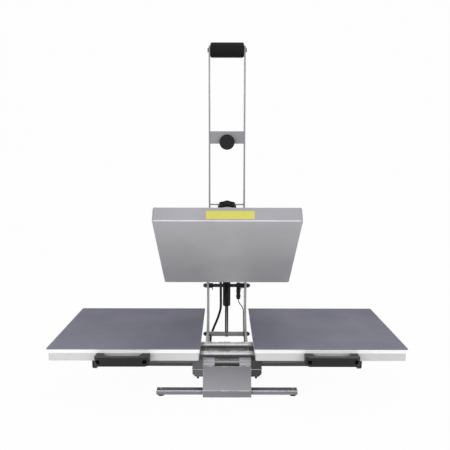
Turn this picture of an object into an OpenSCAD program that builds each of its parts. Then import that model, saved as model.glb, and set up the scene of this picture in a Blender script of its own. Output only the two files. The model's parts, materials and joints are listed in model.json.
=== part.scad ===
// Dual station heat press: two padded platens on a shuttle carriage,
// one heated head on a rear hinge that a long hand lever brings down.
// Front is -Y, right is +X, up is +Z, and the table is at zero height.
// Lengths are millimetres. The model stands open, with the carriage in the middle.

/* [Pads] */
// Side of each square rubber pad
pad_w = 400; // [360:5:420]
// Thickness of each rubber pad
pad_t = 3; // [2:0.5:5]
// Gap between the two pads
station_gap = 141; // [136:1:160]
// Height of the pad faces above the table
pad_h = 156; // [152:1:170]
// How far a pad reaches past the plate under it
pad_overhang = 1.5; // [0.5:0.5:3]

/* [Lower platens] */
// Thickness of the aluminium plate under a pad
plate_t = 10; // [6:1:12]
// How far the plate reaches past its tray
plate_lip = 2; // [1:0.5:4]
// Height of the sheet steel tray under the plate
tray_h = 21; // [18:1:23]
// Sheet thickness of the tray
tray_wall = 2; // [1:0.5:3]
// Radius of the tray's upright corners
tray_corner = 6; // [4:1:12]

/* [Pull handles] */
// Length of a pull handle
handle_len = 139; // [120:1:160]
// Height of a pull handle
handle_h = 23.5; // [20:0.5:28]
// How far a handle stands out from its tray
handle_reach = 38; // [34:1:46]
// Depth of the bar that the fingers close on
handle_grip = 15; // [11:1:17]
// Width of a handle foot where it meets the tray
handle_foot = 18; // [15:1:22]

/* [Carriage] */
// Diameter of the three slide rails
rail_d = 19; // [16:1:20]
// Length of the slide rails
rail_len = 736; // [730:1:780]
// Depth of the rail centres below the pad faces
rail_drop = 69; // [68:1:72]
// Place of the front rail from the middle of the pads
front_rail_y = -114; // [-118:1:-108]
// Place of the middle rail
middle_rail_y = -46; // [-52:1:-40]
// Place of the rear rail
rear_rail_y = 36; // [30:1:44]
// Thickness of the bracket on each end of the rails
end_t = 12; // [8:1:16]
// Width of each support beam under a platen
beam_w = 25; // [18:1:30]

/* [Bearing blocks] */
// Thickness of a bearing block along the rails
block_t = 28.5; // [24:0.5:32]
// Wall of a bearing block under its bush
block_foot = 23; // [20:1:26]
// Wall of the plain bush around a rail
bush_wall = 1.5; // [1:0.5:2]
// Chamfer of the lower outer edge
block_chamfer = 8; // [4:1:10]

/* [Base] */
// Width over the two side plates
base_w = 132; // [130:1:136]
// Thickness of a side plate
side_t = 6; // [5:0.5:7]
// Length of the two foot bars
foot_len = 386; // [340:2:440]
// Depth of a foot bar
foot_d = 25; // [22:1:30]
// Height of a foot bar
foot_bar_h = 12; // [10:1:14]
// Height of a rubber foot
foot_h = 5; // [4:1:8]
// Radius of a rubber foot
foot_r = 10; // [8:1:11]
// Sheet thickness of the front panel
panel_t = 2; // [1:0.5:3]
// How far the panel's foot stands ahead of its top edge
panel_lean = 23; // [18:1:26]
// Height of the upright lip at the panel's foot
panel_lip = 19; // [14:1:24]

/* [Head] */
// Side of the square head cover
head_w = 390; // [370:2:400]
// Height of the head cover
head_h = 40; // [38:1:46]
// Sheet thickness of the head cover
cover_wall = 1.5; // [1:0.5:2]
// Thickness of the heating platen
hot_t = 16; // [12:1:18]
// Thickness of the insulation board
board_t = 12; // [8:1:12]
// Angle that the open head leans back
head_tilt = 36.3; // [32:0.1:38]
// Distance of the main hinge behind the closed head's rear edge
hinge_gap = 123; // [121:1:127]
// Height of the main hinge above the pad faces
hinge_up = 140; // [138:1:142]
// Diameter of the main hinge pin
hinge_d = 20; // [16:1:22]

/* [Lever] */
// Length from the lever's pivot to the middle of its grip
lever_len = 685; // [600:5:720]
// Thickness of a lever bar
bar_t = 5; // [4:0.5:6]
// Width of a lever bar
bar_w = 28; // [24:1:32]
// Angle that the lever turns from open to closed
lever_turn = 96; // [94:0.5:97]
// Distance of the lever's pivot ahead of the main hinge
pivot_ahead = 54; // [53:1:56]
// Height of the lever's pivot above the pad faces
pivot_up = 148; // [147:1:150]
// Radius from the lever's pivot to the pressure shaft
crank_r = 34; // [33:0.5:35]
// Angle of the pressure shaft above the level when open
crank_angle = 57; // [55:1:59]
// Diameter of the pressure shaft
crank_pin_d = 14; // [10:1:15]
// Diameter of the hand grip
grip_d = 47.6; // [36:0.2:52]
// Height of the crossbar's middle above the lever's pivot
crossbar_up = 407; // [395:1:415]
// Height of the crossbar
crossbar_h = 40; // [36:1:50]
// Diameter of the armature disc
disc_d = 49; // [40:1:52]
// Height of the thin tie rod above the lever's pivot
tie_rod_up = 188; // [170:1:220]

/* [Pressure screw] */
// Diameter of the pressure screw
screw_d = 16; // [12:1:18]
// Diameter of the star knob
knob_d = 56; // [48:1:62]
// Height of the star knob
knob_h = 28; // [22:1:32]
// Height of the knob's top above the closed heating face
knob_top_up = 168; // [160:1:178]

/* [Gas spring] */
// Diameter of the gas spring's body
gas_d = 25.4; // [22:0.2:26]
// Diameter of the gas spring's rod
gas_rod_d = 12; // [10:1:13]
// Bare length of rod that shows when the head is open
gas_bare_len = 99; // [92:1:104]
// Stroke of the gas spring as the head closes
gas_stroke = 54; // [53:0.5:55]

/* [Electrics] */
// Diameter of the lead from the head to the base
lead_d = 8; // [6:0.5:8]
// Diameter of the electromagnet
magnet_d = 50; // [40:1:54]
// Height of the control box on the head
control_h = 45; // [36:1:50]
// Travel of a control button
button_travel = 1.2; // [0.8:0.1:1.4]

/* [Hidden] */
$fn = 48;

// Clearances and one overrun for every cut
run_fit = 0.05;
seat_fit = 0.03;
loose_fit = 0.4;
side_fit = 0.5;
closed_gap = 0.5;
over = 1;

// Colours
light_grey = "#B4B4B6";
mid_grey = "#8E8E92";
dark_grey = "#4A4A4D";
slate = "#6A6973";
black = "#1C1C1E";
bright = "#D8D9DC";

// Heights above the table
plate_top = pad_h - pad_t;
tray_top = plate_top - plate_t;
tray_z = tray_top - tray_h;
rail_z = pad_h - rail_drop;
rail_r = rail_d / 2;
foot_top = foot_h + foot_bar_h;
rail_gap = 2.5;
side_top = rail_z - rail_r - rail_gap;

// Places in plan
station_x = (station_gap + pad_w) / 2;
hinge_y = head_w / 2 + hinge_gap;
pivot_y = hinge_y - pivot_ahead;
plate_w = pad_w - 2 * pad_overhang;
tray_w = plate_w - 2 * plate_lip;
rail_ys = [front_rail_y, middle_rail_y, rear_rail_y];
base_half = base_w / 2;
side_in = base_half - side_t;
boss_r = 24;
rear_y = hinge_y + boss_r;
front_y = -tray_w / 2 - handle_reach;
mid_y = (front_y + rear_y) / 2;

// Bearing blocks
bush_r = rail_r + bush_wall;
block_skin = 2.5;
block_top = rail_z + bush_r + block_skin;
block_low = rail_z - bush_r - block_foot;
block_rise = 5;
block_boss = 17;
block_out = base_half + block_t;
block_split = 8;
block_groove = 1;
block_inset = 15;
rear_bush_in = base_half + block_inset;

// End brackets and beams
end_out = rail_len / 2;
end_in = end_out - end_t;
end_margin = 3.5;
end_low = rail_z - rail_r - end_margin;
end_front = front_rail_y - block_boss + over;
end_rear = rear_rail_y + block_boss - over;
end_cut = 6;
flange_len = 26;
flange_t = 3;
beam_gap = 2;
beam_low = block_top + beam_gap;
beam_wall = 2;
beam_inset = 21;
beam_ys = [(front_rail_y + middle_rail_y) / 2, (middle_rail_y + rear_rail_y) / 2];

// Front panel and the blocks on its top flange
panel_ahead = 14;
panel_bend_up = 16;
panel_top_y = front_rail_y - panel_ahead;
flange_z = side_top + seat_fit;
panel_top_z = flange_z + panel_t;
panel_bend_z = foot_h + panel_bend_up;
panel_bend_y = panel_top_y - panel_lean;
panel_flange = 28;
panel_low = panel_bend_z - panel_lip;
guard_in = 34;
guard_wall = 4;
guard_r = rail_r + guard_wall;
guard_run = 0.6;
panel_rim = 5;
panel_rim_z = panel_top_z + panel_rim;

// Foot bars, rubber feet and their screws
foot_back = 9;
foot_ahead = 42;
front_foot_y = panel_bend_y + panel_t + foot_back;
rear_foot_y = hinge_y - foot_d - foot_ahead;
foot_inset = 12;
foot_screw_x = foot_len / 2 - foot_inset;
foot_screw_r = 2.5;
foot_head_r = 3.6;
foot_head_h = 1.6;
foot_screw_end = 2;

// Side bolts of the bearing blocks
side_bolt_drop = 8;
side_bolt_z = side_top - side_bolt_drop;
bolt_r = 3;
bolt_head_r = 5;
bolt_head_h = 4;
bolt_depth = 14;
cap_bolt_head_h = 6.5;
cap_bolt_up = 18;

// Hinge, lever pivot and linkage, in the middle plane
hinge_z = pad_h + hinge_up;
hinge_r = hinge_d / 2;
pivot_z = pad_h + pivot_up;
pivot_bolt_r = 6;
pivot_head_r = 10;
pivot_head_t = 6;

// Turn a point of the side view about another by an angle
function turn(p, c, a) = [
    c[0] + (p[0] - c[0]) * cos(a) - (p[1] - c[1]) * sin(a),
    c[1] + (p[0] - c[0]) * sin(a) + (p[1] - c[1]) * cos(a)
];
hinge_c = [hinge_y, hinge_z];
pivot_c = [pivot_y, pivot_z];
open_crank = [pivot_y - crank_r * cos(crank_angle), pivot_z + crank_r * sin(crank_angle)];
// Place of the pressure shaft in the closed head's frame at a share of the travel
function crank_in_head(share) =
    turn(turn(open_crank, pivot_c, lever_turn * share), hinge_c, head_tilt * (1 - share));
slot_a = crank_in_head(0);
slot_b = crank_in_head(0.5);
crank_slot_r = crank_pin_d / 2 + loose_fit;
slot_facets = 14;

// Tie shafts through the side plates
upper_tie_ahead = 28;
upper_tie_drop = 84;
lower_tie_ahead = 26;
lower_tie_drop = 115;
upper_tie = [hinge_y - upper_tie_ahead, hinge_z - upper_tie_drop];
lower_tie = [hinge_y - lower_tie_ahead, pad_h - lower_tie_drop];
upper_tie_r = 6;
lower_tie_r = 5;
tie_end = 12;
nut_r = 7.5;
nut_len = 8;
sleeve_r = 8;
eye_half = 6;

// Gas spring, pinned to the lower tie shaft and to the head yoke
gas_pin_r = 5;
gas_pin_ahead = 78;
gas_pin_drop = 40;
gas_play = 0.7;
gas_top_closed = [hinge_y - gas_pin_ahead, hinge_z - gas_pin_drop];
gas_top = turn(gas_top_closed, hinge_c, -head_tilt);
gas_run = [gas_top[0] - lower_tie[0], gas_top[1] - lower_tie[1]];
gas_len = norm(gas_run);
gas_lean = atan2(-gas_run[0], gas_run[1]);
gas_swing = 0.935;
// Place of the upper gas spring pin in the closed head's frame
function gas_in_head(share) =
    turn(
        [lower_tie[0] - (gas_len - gas_stroke * share) * sin(gas_lean + gas_swing * share),
         lower_tie[1] + (gas_len - gas_stroke * share) * cos(gas_lean + gas_swing * share)],
        hinge_c, head_tilt * (1 - share)
    );
gas_slot_a = gas_in_head(0);
gas_slot_b = gas_in_head(0.5);
gas_slot_r = gas_pin_r + gas_play;
gas_eye_r = 10;
gas_neck = 12.5;
gas_mouth = gas_bare_len + gas_neck;
gas_guide = 10;
gas_cap = 14;
gas_stem = 4;
gas_wall = 1.7;
gas_r = gas_d / 2;
gas_rod_r = gas_rod_d / 2;
piston_len = 12;

// Head, drawn closed and then turned open about the hinge
face_z = pad_h + closed_gap;
cover_rise = 1;
cover_low = face_z + cover_rise;
cover_top = cover_low + head_h - cover_rise;
cover_corner = 7;
hot_fit = 0.5;
hot_w = head_w - 2 * cover_wall - 2 * hot_fit;
hot_top = face_z + hot_t;
element_r = 4;
element_pitch_share = 0.207;
element_half_share = 0.363;
element_pitch = hot_w * element_pitch_share;
element_half = hot_w * element_half_share;
board_inset = 10;
board_w = hot_w - 2 * board_inset;
board_top = cover_top - cover_wall;
press_plate_t = 6;
press_plate_half = 60;
press_plate_top = cover_top + press_plate_t;
press_plate_front_inset = 37;
press_plate_rear_inset = 45;
press_plate_front = -head_w / 2 + press_plate_front_inset;
press_plate_rear = head_w / 2 - press_plate_rear_inset;
yoke_inset = 8;
yoke_out = side_in - yoke_inset;
yoke_t = 6;
yoke_in = yoke_out - yoke_t;
hinge_tube_r = 15;
hinge_boss_r = 20;
slot_boss_r = 19;
gas_boss_r = 14;
yoke_beam_h = 37;
yoke_nose_h = 15;
block_half = 25;
block_lift = 9;
screw_len_down = 0.3;
collar_r = 12;
collar_h = 8;
collar_gap = 2;
cover_screw_r = 2;
cover_head_r = 4.5;
cover_head_h = 2.5;
cover_screw_inset = 5;
cover_screw_at = hot_w / 2 - cover_screw_inset;
cover_screw_deep = 8;

// Lever
bar_out = side_in - side_fit;
bar_in = bar_out - bar_t;
grip_z = pivot_z + lever_len;
pivot_eye_r = 17;
crank_eye_r = 15;
crossbar_t = 3;
crossbar_z = pivot_z + crossbar_up;
crossbar_ahead = 12;
disc_drop = 15;
crossbar_web_y = pivot_y - crossbar_ahead;
disc_up = crossbar_up - disc_drop;
disc_t = 8;
disc_out = 35;
disc_stem_r = 9;
tie_rod_r = 2.7;
grip_fit = 0.3;
grip_round = 6;
grip_bolt_r = 4;
grip_head_r = 7;
grip_head_h = 3.5;

// Magnet under the disc when the lever is down
magnet_y = pivot_y + disc_out * -cos(lever_turn) - disc_up * sin(lever_turn);
magnet_top = pivot_z - disc_out * sin(lever_turn) + disc_up * cos(lever_turn) - closed_gap;
magnet_base_h = 4;
magnet_pole_r = 9;
magnet_slot = 2;

// Control box on the head's right
control_gap = 15;
control_margin = 20;
control_w = head_w / 2 - press_plate_half - control_gap - control_margin;
control_x = press_plate_half + control_gap + control_w / 2;
control_front = -70;
control_rear = 60;
control_slope = 50;
control_nose = 24;
control_top = cover_top + control_h;
display_w = 62;
display_d = 26;
display_t = 1.5;
display_y = 22;
button_r = 5;
button_y = -5;
button_pitch = 20;
button_proud = 2.2;
button_deep = 3;
button_fit = 0.3;

// Power box between the side plates, behind the front panel
box_wall = 1.5;
box_fit = 0.3;
box_half = side_in - box_fit;
box_front_gap = 9;
box_rear_gap = 182;
box_lift = 3;
box_front = front_rail_y + box_front_gap;
box_rear = hinge_y - box_rear_gap;
box_low = foot_top + box_lift;
box_top = side_bolt_z - bolt_head_r - over;
inlet_x = 20;
inlet_w = 72;
inlet_h = 27;
inlet_z = (box_low + box_top) / 2;
inlet_flange = 3;
inlet_body = 26;
inlet_fit = 0.4;
socket_x = 36;
socket_w = 24;
socket_h = 16;
socket_d = 16;
socket_pin_w = 4;
socket_pin_t = 2;
socket_pin_len = 11;
socket_pin_pitch = 7;
rocker_x = 2;
rocker_w = 13;
rocker_h = 19;
rocker_d = 13;
rocker_fit = 0.4;
rocker_axis_in = 1;

// Leads and their glands
lead_r = lead_d / 2;
lead_x = -19.5;
gland_r = 8;
gland_nut = 8;
gland_len = 20;
gland_neck_r = 6.2;
gland_sink = 5;
head_gland_up = 21;
base_gland_x = -42;
lead_sides = 10;
switch_lead_d = 3;
switch_x = 40;
switch_w = 13;
switch_d = 11;
switch_h = 35;
switch_low = 166;
switch_plate_t = 2;
switch_ring_r = 10;
switch_arm_t = 0.6;

// Handles
handle_drop = 1;
handle_screw_inset = 10;
handle_z = (tray_z + tray_top) / 2 - handle_drop;
handle_screw_x = handle_len / 2 - handle_screw_inset;
handle_bore_r = 5.6;
handle_bore_rest = 8;
handle_head_r = 4.8;
handle_head_h = 4;
handle_shank_r = 2.5;
handle_shank_in = 6;
handle_corner = 9;

// The model's own frame has its origin under the middle of its outline
module seat() {
    translate([0, -mid_y, 0])
    children();
}

// A flat shape drawn in the side view, as thick as t from x0 towards +X
module side_slab(x0, t) {
    translate([x0, 0, 0])
    rotate([90, 0, 90])
    linear_extrude(height = t)
    children();
}

// The head's pieces are drawn closed and turned open
module open_head() {
    translate([0, hinge_y, hinge_z])
    rotate([-head_tilt, 0, 0])
    translate([0, -hinge_y, -hinge_z])
    children();
}

// A round bar along X from x0 to x1
module bar_x(x0, x1, r, y, z) {
    translate([x0, y, z])
    rotate([0, 90, 0])
    cylinder(r = r, h = x1 - x0);
}

// A round bar along Y from y0 to y1
module bar_y(y0, y1, r, x, z) {
    translate([x, y0, z])
    rotate([-90, 0, 0])
    cylinder(r = r, h = y1 - y0);
}

// A flat square box with round upright corners
module round_box(w, d, h, r) {
    union() {
        translate([-w / 2 + r, -d / 2, 0])
        cube([w - 2 * r, d, h]);
        translate([-w / 2, -d / 2 + r, 0])
        cube([w, d - 2 * r, h]);
        for (sx = [-1, 1], sy = [-1, 1])
            translate([sx * (w / 2 - r), sy * (d / 2 - r), 0])
            cylinder(r = r, h = h);
    }
}

// A slot between two points of the side view, for a pin of radius r
module slot_x(a, b, r, x0, x1) {
    lean = atan2(b[1] - a[1], b[0] - a[0]);
    side_slab(x0, x1 - x0)
    polygon(concat(
        [
            for (k = [0:slot_facets])
                a + r * [cos(lean + 90 + 180 * k / slot_facets), sin(lean + 90 + 180 * k / slot_facets)]
        ],
        [
            for (k = [0:slot_facets])
                b + r * [cos(lean - 90 + 180 * k / slot_facets), sin(lean - 90 + 180 * k / slot_facets)]
        ]
    ));
}

// A tube swept along a list of points, with flat ends
module swept_tube(points, r, sides, start_dir, end_dir) {
    last = len(points) - 1;
    dirs = [
        for (i = [0:last])
            i == 0 ? start_dir :
            i == last ? end_dir :
            (points[i + 1] - points[i - 1]) / norm(points[i + 1] - points[i - 1])
    ];
    rings = [
        for (i = [0:last])
            let (
                across = cross(dirs[i], [1, 0, 0]) / norm(cross(dirs[i], [1, 0, 0])),
                up = cross(dirs[i], across)
            )
            for (k = [0:sides - 1])
                points[i] + r * cos(360 * k / sides) * across + r * sin(360 * k / sides) * up
    ];
    walls = [
        for (i = [0:last - 1], k = [0:sides - 1], half = [0, 1])
            let (
                a = i * sides + k,
                b = i * sides + (k + 1) % sides,
                c = a + sides,
                d = b + sides
            )
            half == 0 ? [a, c, b] : [b, c, d]
    ];
    caps = [
        [for (k = [0:sides - 1]) k],
        [for (k = [0:sides - 1]) last * sides + sides - 1 - k]
    ];
    polyhedron(points = rings, faces = concat(walls, caps), convexity = 4);
}

// Side plate: a beam under the rails and an upright that carries both pivots
plate_front_top = panel_top_y + panel_t + side_fit;
plate_front_low = panel_bend_y + panel_t + side_fit;
gusset_run = 50;
upright_front = pivot_y - 14;
module side_plate(x0) {
    difference() {
        union() {
            side_slab(x0, side_t)
            polygon([
                [plate_front_low, foot_top],
                [rear_y, foot_top],
                [rear_y, hinge_z],
                [pivot_y - boss_r, pivot_z],
                [upright_front, side_top + gusset_run],
                [upright_front - gusset_run, side_top],
                [plate_front_top, side_top]
            ]);
            side_slab(x0, side_t)
            polygon([
                [pivot_y, pivot_z],
                [hinge_y, hinge_z],
                [hinge_y, hinge_z + boss_r],
                [pivot_y, pivot_z + boss_r]
            ]);
            bar_x(x0, x0 + side_t, boss_r, pivot_y, pivot_z);
            bar_x(x0, x0 + side_t, boss_r, hinge_y, hinge_z);
        }
        bar_x(x0 - over, x0 + side_t + over, hinge_r + seat_fit, hinge_y, hinge_z);
        bar_x(x0 - over, x0 + side_t + over, pivot_bolt_r + seat_fit, pivot_y, pivot_z);
        bar_x(x0 - over, x0 + side_t + over, upper_tie_r + seat_fit, upper_tie[0], upper_tie[1]);
        bar_x(x0 - over, x0 + side_t + over, lower_tie_r + seat_fit, lower_tie[0], lower_tie[1]);
        for (y = beam_ys)
            bar_x(x0 - over, x0 + side_t + over, bolt_r + seat_fit, y, side_bolt_z);
    }
}
module left_side_plate() { color(light_grey) side_plate(-base_half); }
module right_side_plate() { color(light_grey) side_plate(side_in); }

// Front panel: a flange behind a low rim, a leaning face and an upright lip
module front_panel() {
    color(mid_grey)
    side_slab(-base_half, base_w)
    polygon([
        [panel_top_y + panel_flange, flange_z],
        [panel_top_y + panel_flange, panel_top_z],
        [panel_top_y + panel_t, panel_top_z],
        [panel_top_y + panel_t, panel_rim_z],
        [panel_top_y, panel_rim_z],
        [panel_bend_y, panel_bend_z],
        [panel_bend_y, panel_low],
        [panel_bend_y + panel_t, panel_low],
        [panel_bend_y + panel_t, panel_bend_z],
        [panel_top_y + panel_t, flange_z]
    ]);
}

// Foot bars under both ends of the side plates
module foot_bar(y0) {
    difference() {
        translate([-foot_len / 2, y0, foot_h])
        cube([foot_len, foot_d, foot_bar_h]);
        for (sx = [-1, 1])
            translate([sx * foot_screw_x, y0 + foot_d / 2, 0])
            cylinder(r = foot_screw_r + seat_fit, h = foot_top + over);
    }
}
module foot_bars() {
    color(dark_grey) {
        foot_bar(front_foot_y);
        foot_bar(rear_foot_y);
    }
}
foot_places = [
    for (sx = [-1, 1], y = [front_foot_y, rear_foot_y])
        [sx * foot_screw_x, y + foot_d / 2, 0]
];
module rubber_feet() {
    color(black)
    for (p = foot_places)
        translate(p)
        difference() {
            cylinder(r = foot_r, h = foot_h);
            translate([0, 0, foot_screw_end - seat_fit])
            cylinder(r = foot_screw_r + seat_fit, h = foot_h);
        }
}

// Screws of the feet and bolts of the bearing blocks
module base_screws() {
    color(bright) {
        for (p = foot_places)
            translate(p)
            union() {
                translate([0, 0, foot_screw_end])
                cylinder(r = foot_screw_r, h = foot_top - foot_screw_end);
                translate([0, 0, foot_top])
                cylinder(r = foot_head_r, h = foot_head_h);
            }
        for (sx = [-1, 1], y = beam_ys)
            mirror([sx < 0 ? 1 : 0, 0, 0])
            union() {
                bar_x(side_in - bolt_head_h, side_in, bolt_head_r, y, side_bolt_z);
                bar_x(side_in - over, base_half + bolt_depth, bolt_r, y, side_bolt_z);
            }
        for (sx = [-1, 1], y = rail_ys)
            translate([sx * (base_half + block_t / 2), y, block_low])
            union() {
                translate([0, 0, -cap_bolt_head_h])
                cylinder(r = bolt_head_r, h = cap_bolt_head_h);
                translate([0, 0, -over])
                cylinder(r = bolt_r, h = cap_bolt_up + over);
            }
    }
}

// Bearing block: one casting with a boss around each rail
module bearing_block() {
    difference() {
        side_slab(base_half, block_t)
        polygon([
            [front_rail_y - block_boss, block_low],
            [front_rail_y + block_boss, block_low],
            [front_rail_y + block_boss + block_rise, block_low + block_rise],
            [middle_rail_y - block_boss - block_rise, block_low + block_rise],
            [middle_rail_y - block_boss, block_low],
            [middle_rail_y + block_boss, block_low],
            [middle_rail_y + block_boss + block_rise, block_low + block_rise],
            [rear_rail_y - block_boss - block_rise, block_low + block_rise],
            [rear_rail_y - block_boss, block_low],
            [rear_rail_y + block_boss, block_low],
            [rear_rail_y + block_boss, block_top],
            [front_rail_y - block_boss, block_top]
        ]);
        translate([block_out, 0, block_low])
        rotate([0, 45, 0])
        cube([block_chamfer * sqrt(2), 4 * pad_w, block_chamfer * sqrt(2)], center = true);
        translate([base_half - over, front_rail_y + block_boss, side_top - over])
        cube([block_inset + over, rear_rail_y - front_rail_y, block_top]);
        for (y = rail_ys) {
            bar_x(base_half - over, block_out + over, bush_r + seat_fit, y, rail_z);
            translate([base_half + block_t / 2, y, block_low - over])
            cylinder(r = bolt_r + seat_fit, h = cap_bolt_up + over + seat_fit);
        }
        for (y = beam_ys)
            bar_x(base_half - over, base_half + bolt_depth + seat_fit, bolt_r + seat_fit,
                y, side_bolt_z);
        translate([base_half - over, front_rail_y - block_boss - over, rail_z - block_split
            - bolt_head_r])
        cube([block_t + 2 * over, over + block_groove, block_groove]);
    }
}
module left_bearing_block() { color(mid_grey) mirror([1, 0, 0]) bearing_block(); }
module right_bearing_block() { color(dark_grey) bearing_block(); }
module linear_bushes() {
    color("#B08D57")
    for (sx = [-1, 1], y = rail_ys)
        mirror([sx < 0 ? 1 : 0, 0, 0])
        difference() {
            bar_x(y == front_rail_y ? base_half : rear_bush_in, block_out, bush_r, y, rail_z);
            bar_x(base_half - over, block_out + over, rail_r + run_fit, y, rail_z);
        }
}

// Two light housings that guide the front rail on top of the panel's flange
module rail_brackets() {
    color(light_grey)
    for (sx = [-1, 1])
        mirror([sx < 0 ? 1 : 0, 0, 0])
        difference() {
            union() {
                bar_x(guard_in, base_half, guard_r, front_rail_y, rail_z);
                translate([guard_in, panel_top_y + panel_t + side_fit, panel_top_z + seat_fit])
                cube([base_half - guard_in, guard_r + front_rail_y - panel_top_y - panel_t
                    - side_fit - over, rail_z - panel_top_z]);
            }
            bar_x(guard_in - over, base_half + over, rail_r + guard_run, front_rail_y, rail_z);
            translate([guard_in - over, panel_top_y - guard_r, panel_top_z - guard_r])
            cube([base_half, guard_r + panel_t + side_fit,
                guard_r + panel_rim + side_fit]);
            translate([guard_in - over, panel_top_y - guard_r, panel_top_z - guard_r])
            cube([base_half, 4 * guard_r, guard_r + seat_fit]);
        }
}

// Tie shafts, their domed nuts and the sleeves between the plates
module tie_shafts() {
    color(dark_grey) {
        bar_x(-base_half - tie_end, base_half + tie_end, upper_tie_r, upper_tie[0], upper_tie[1]);
        bar_x(-base_half - tie_end, base_half + tie_end, lower_tie_r, lower_tie[0], lower_tie[1]);
    }
}
module domed_nut(c, shaft_r) {
    for (sx = [-1, 1])
        mirror([sx < 0 ? 1 : 0, 0, 0])
        difference() {
            union() {
                bar_x(base_half, base_half + nut_len, nut_r, c[0], c[1]);
                translate([base_half + nut_len, c[0], c[1]])
                sphere(r = nut_r - over);
            }
            bar_x(base_half - over, base_half + tie_end + seat_fit, shaft_r + seat_fit,
                c[0], c[1]);
            translate([base_half - 2 * nut_r, c[0] - nut_r, c[1] - nut_r])
            cube([2 * nut_r, 2 * nut_r, 2 * nut_r]);
        }
}
module shaft_nuts() {
    color(dark_grey) {
        domed_nut(upper_tie, upper_tie_r);
        domed_nut(lower_tie, lower_tie_r);
    }
}
module sleeve(x0, x1, r, bore, c) {
    difference() {
        bar_x(x0, x1, r, c[0], c[1]);
        bar_x(x0 - over, x1 + over, bore, c[0], c[1]);
    }
}
module spacer_sleeves() {
    color(light_grey)
    for (sx = [-1, 1])
        mirror([sx < 0 ? 1 : 0, 0, 0]) {
            sleeve(eye_half + side_fit, side_in, sleeve_r, lower_tie_r + run_fit, lower_tie);
            sleeve(yoke_out + loose_fit, side_in, hinge_tube_r, hinge_r + run_fit, hinge_c);
        }
}

// Main hinge pin with a flat head at each end
hinge_head_t = 3;
hinge_head_r = 14;
module main_hinge_pin() {
    color(bright)
    union() {
        bar_x(-base_half - hinge_head_t, base_half + hinge_head_t, hinge_r, hinge_y, hinge_z);
        for (sx = [-1, 1])
            mirror([sx < 0 ? 1 : 0, 0, 0])
            bar_x(base_half, base_half + hinge_head_t, hinge_head_r, hinge_y, hinge_z);
    }
}

// Shoulder bolts that the lever turns on, clear of the yoke between them
module lever_pivot_bolts() {
    color(dark_grey)
    for (sx = [-1, 1])
        mirror([sx < 0 ? 1 : 0, 0, 0])
        union() {
            bar_x(bar_in + loose_fit, base_half, pivot_bolt_r, pivot_y, pivot_z);
            bar_x(base_half, base_half + pivot_head_t, pivot_head_r, pivot_y, pivot_z);
        }
}

// Power box, its inlet with a rocker switch, and the rocker
module power_box() {
    color(mid_grey)
    difference() {
        translate([-box_half, box_front, box_low])
        cube([2 * box_half, box_rear - box_front, box_top - box_low]);
        translate([-box_half + box_wall, box_front + box_wall, box_low + box_wall])
        cube([
            2 * (box_half - box_wall),
            box_rear - box_front - 2 * box_wall,
            box_top - box_low - 2 * box_wall
        ]);
        translate([inlet_x - inlet_w / 2 + inlet_flange, box_rear - 2 * box_wall,
            inlet_z - inlet_h / 2 + inlet_flange])
        cube([inlet_w - 2 * inlet_flange, 4 * box_wall, inlet_h - 2 * inlet_flange]);
        bar_y(box_rear - 2 * box_wall, box_rear + over, gland_neck_r + seat_fit,
            base_gland_x, inlet_z);
    }
}
inlet_face = box_rear + inlet_flange;
module power_inlet() {
    color(black)
    difference() {
        union() {
            translate([inlet_x - inlet_w / 2, box_rear, inlet_z - inlet_h / 2])
            cube([inlet_w, inlet_flange, inlet_h]);
            translate([inlet_x - inlet_w / 2 + inlet_flange + inlet_fit, box_rear - inlet_body,
                inlet_z - inlet_h / 2 + inlet_flange + inlet_fit])
            cube([inlet_w - 2 * (inlet_flange + inlet_fit), inlet_body + over,
                inlet_h - 2 * (inlet_flange + inlet_fit)]);
        }
        difference() {
            translate([socket_x - socket_w / 2, inlet_face - socket_d, inlet_z - socket_h / 2])
            cube([socket_w, socket_d + over, socket_h]);
            for (k = [-1, 0, 1])
                translate([socket_x + k * socket_pin_pitch - socket_pin_t / 2,
                    inlet_face - socket_d - over, inlet_z - socket_pin_w / 2 + (k == 0 ?
                    socket_pin_t : -socket_pin_t)])
                cube([socket_pin_t, socket_pin_len + over, socket_pin_w]);
        }
        translate([rocker_x - rocker_w / 2 - rocker_fit, inlet_face - rocker_d - rocker_fit,
            inlet_z - rocker_h / 2 - rocker_fit])
        cube([rocker_w + 2 * rocker_fit, rocker_d + rocker_fit + over,
            rocker_h + 2 * rocker_fit]);
    }
}
rocker_y = inlet_face - rocker_axis_in;
rocker_tip = 8;
rocker_lean = 10;
rocker_r = rocker_h / 2 - rocker_fit;
module power_rocker() {
    color(black)
    translate([rocker_x, rocker_y, inlet_z])
    rotate([rocker_lean, 0, 0])
    intersection() {
        bar_x(-rocker_w / 2 + rocker_fit, rocker_w / 2 - rocker_fit, rocker_r, 0, 0);
        translate([-rocker_w, -rocker_tip, -rocker_h])
        cube([2 * rocker_w, rocker_tip + rocker_axis_in * 2, 2 * rocker_h]);
    }
}

// Micro switch that feels the head come down, hung on the upper tie shaft
switch_top = switch_low + switch_h;
switch_back = upper_tie[0] + switch_plate_t;
module micro_switch() {
    color(black) {
        difference() {
            union() {
                bar_x(switch_x - switch_w / 2, switch_x + switch_w / 2, switch_ring_r,
                    upper_tie[0], upper_tie[1]);
                translate([switch_x - switch_w / 2, switch_back, switch_low])
                cube([switch_w, switch_plate_t, upper_tie[1] - switch_low]);
            }
            bar_x(switch_x - switch_w, switch_x + switch_w, upper_tie_r + seat_fit,
                upper_tie[0], upper_tie[1]);
        }
        translate([switch_x - switch_w / 2, switch_back - switch_d, switch_low])
        cube([switch_w, switch_d, switch_h - switch_plate_t]);
    }
}

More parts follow.
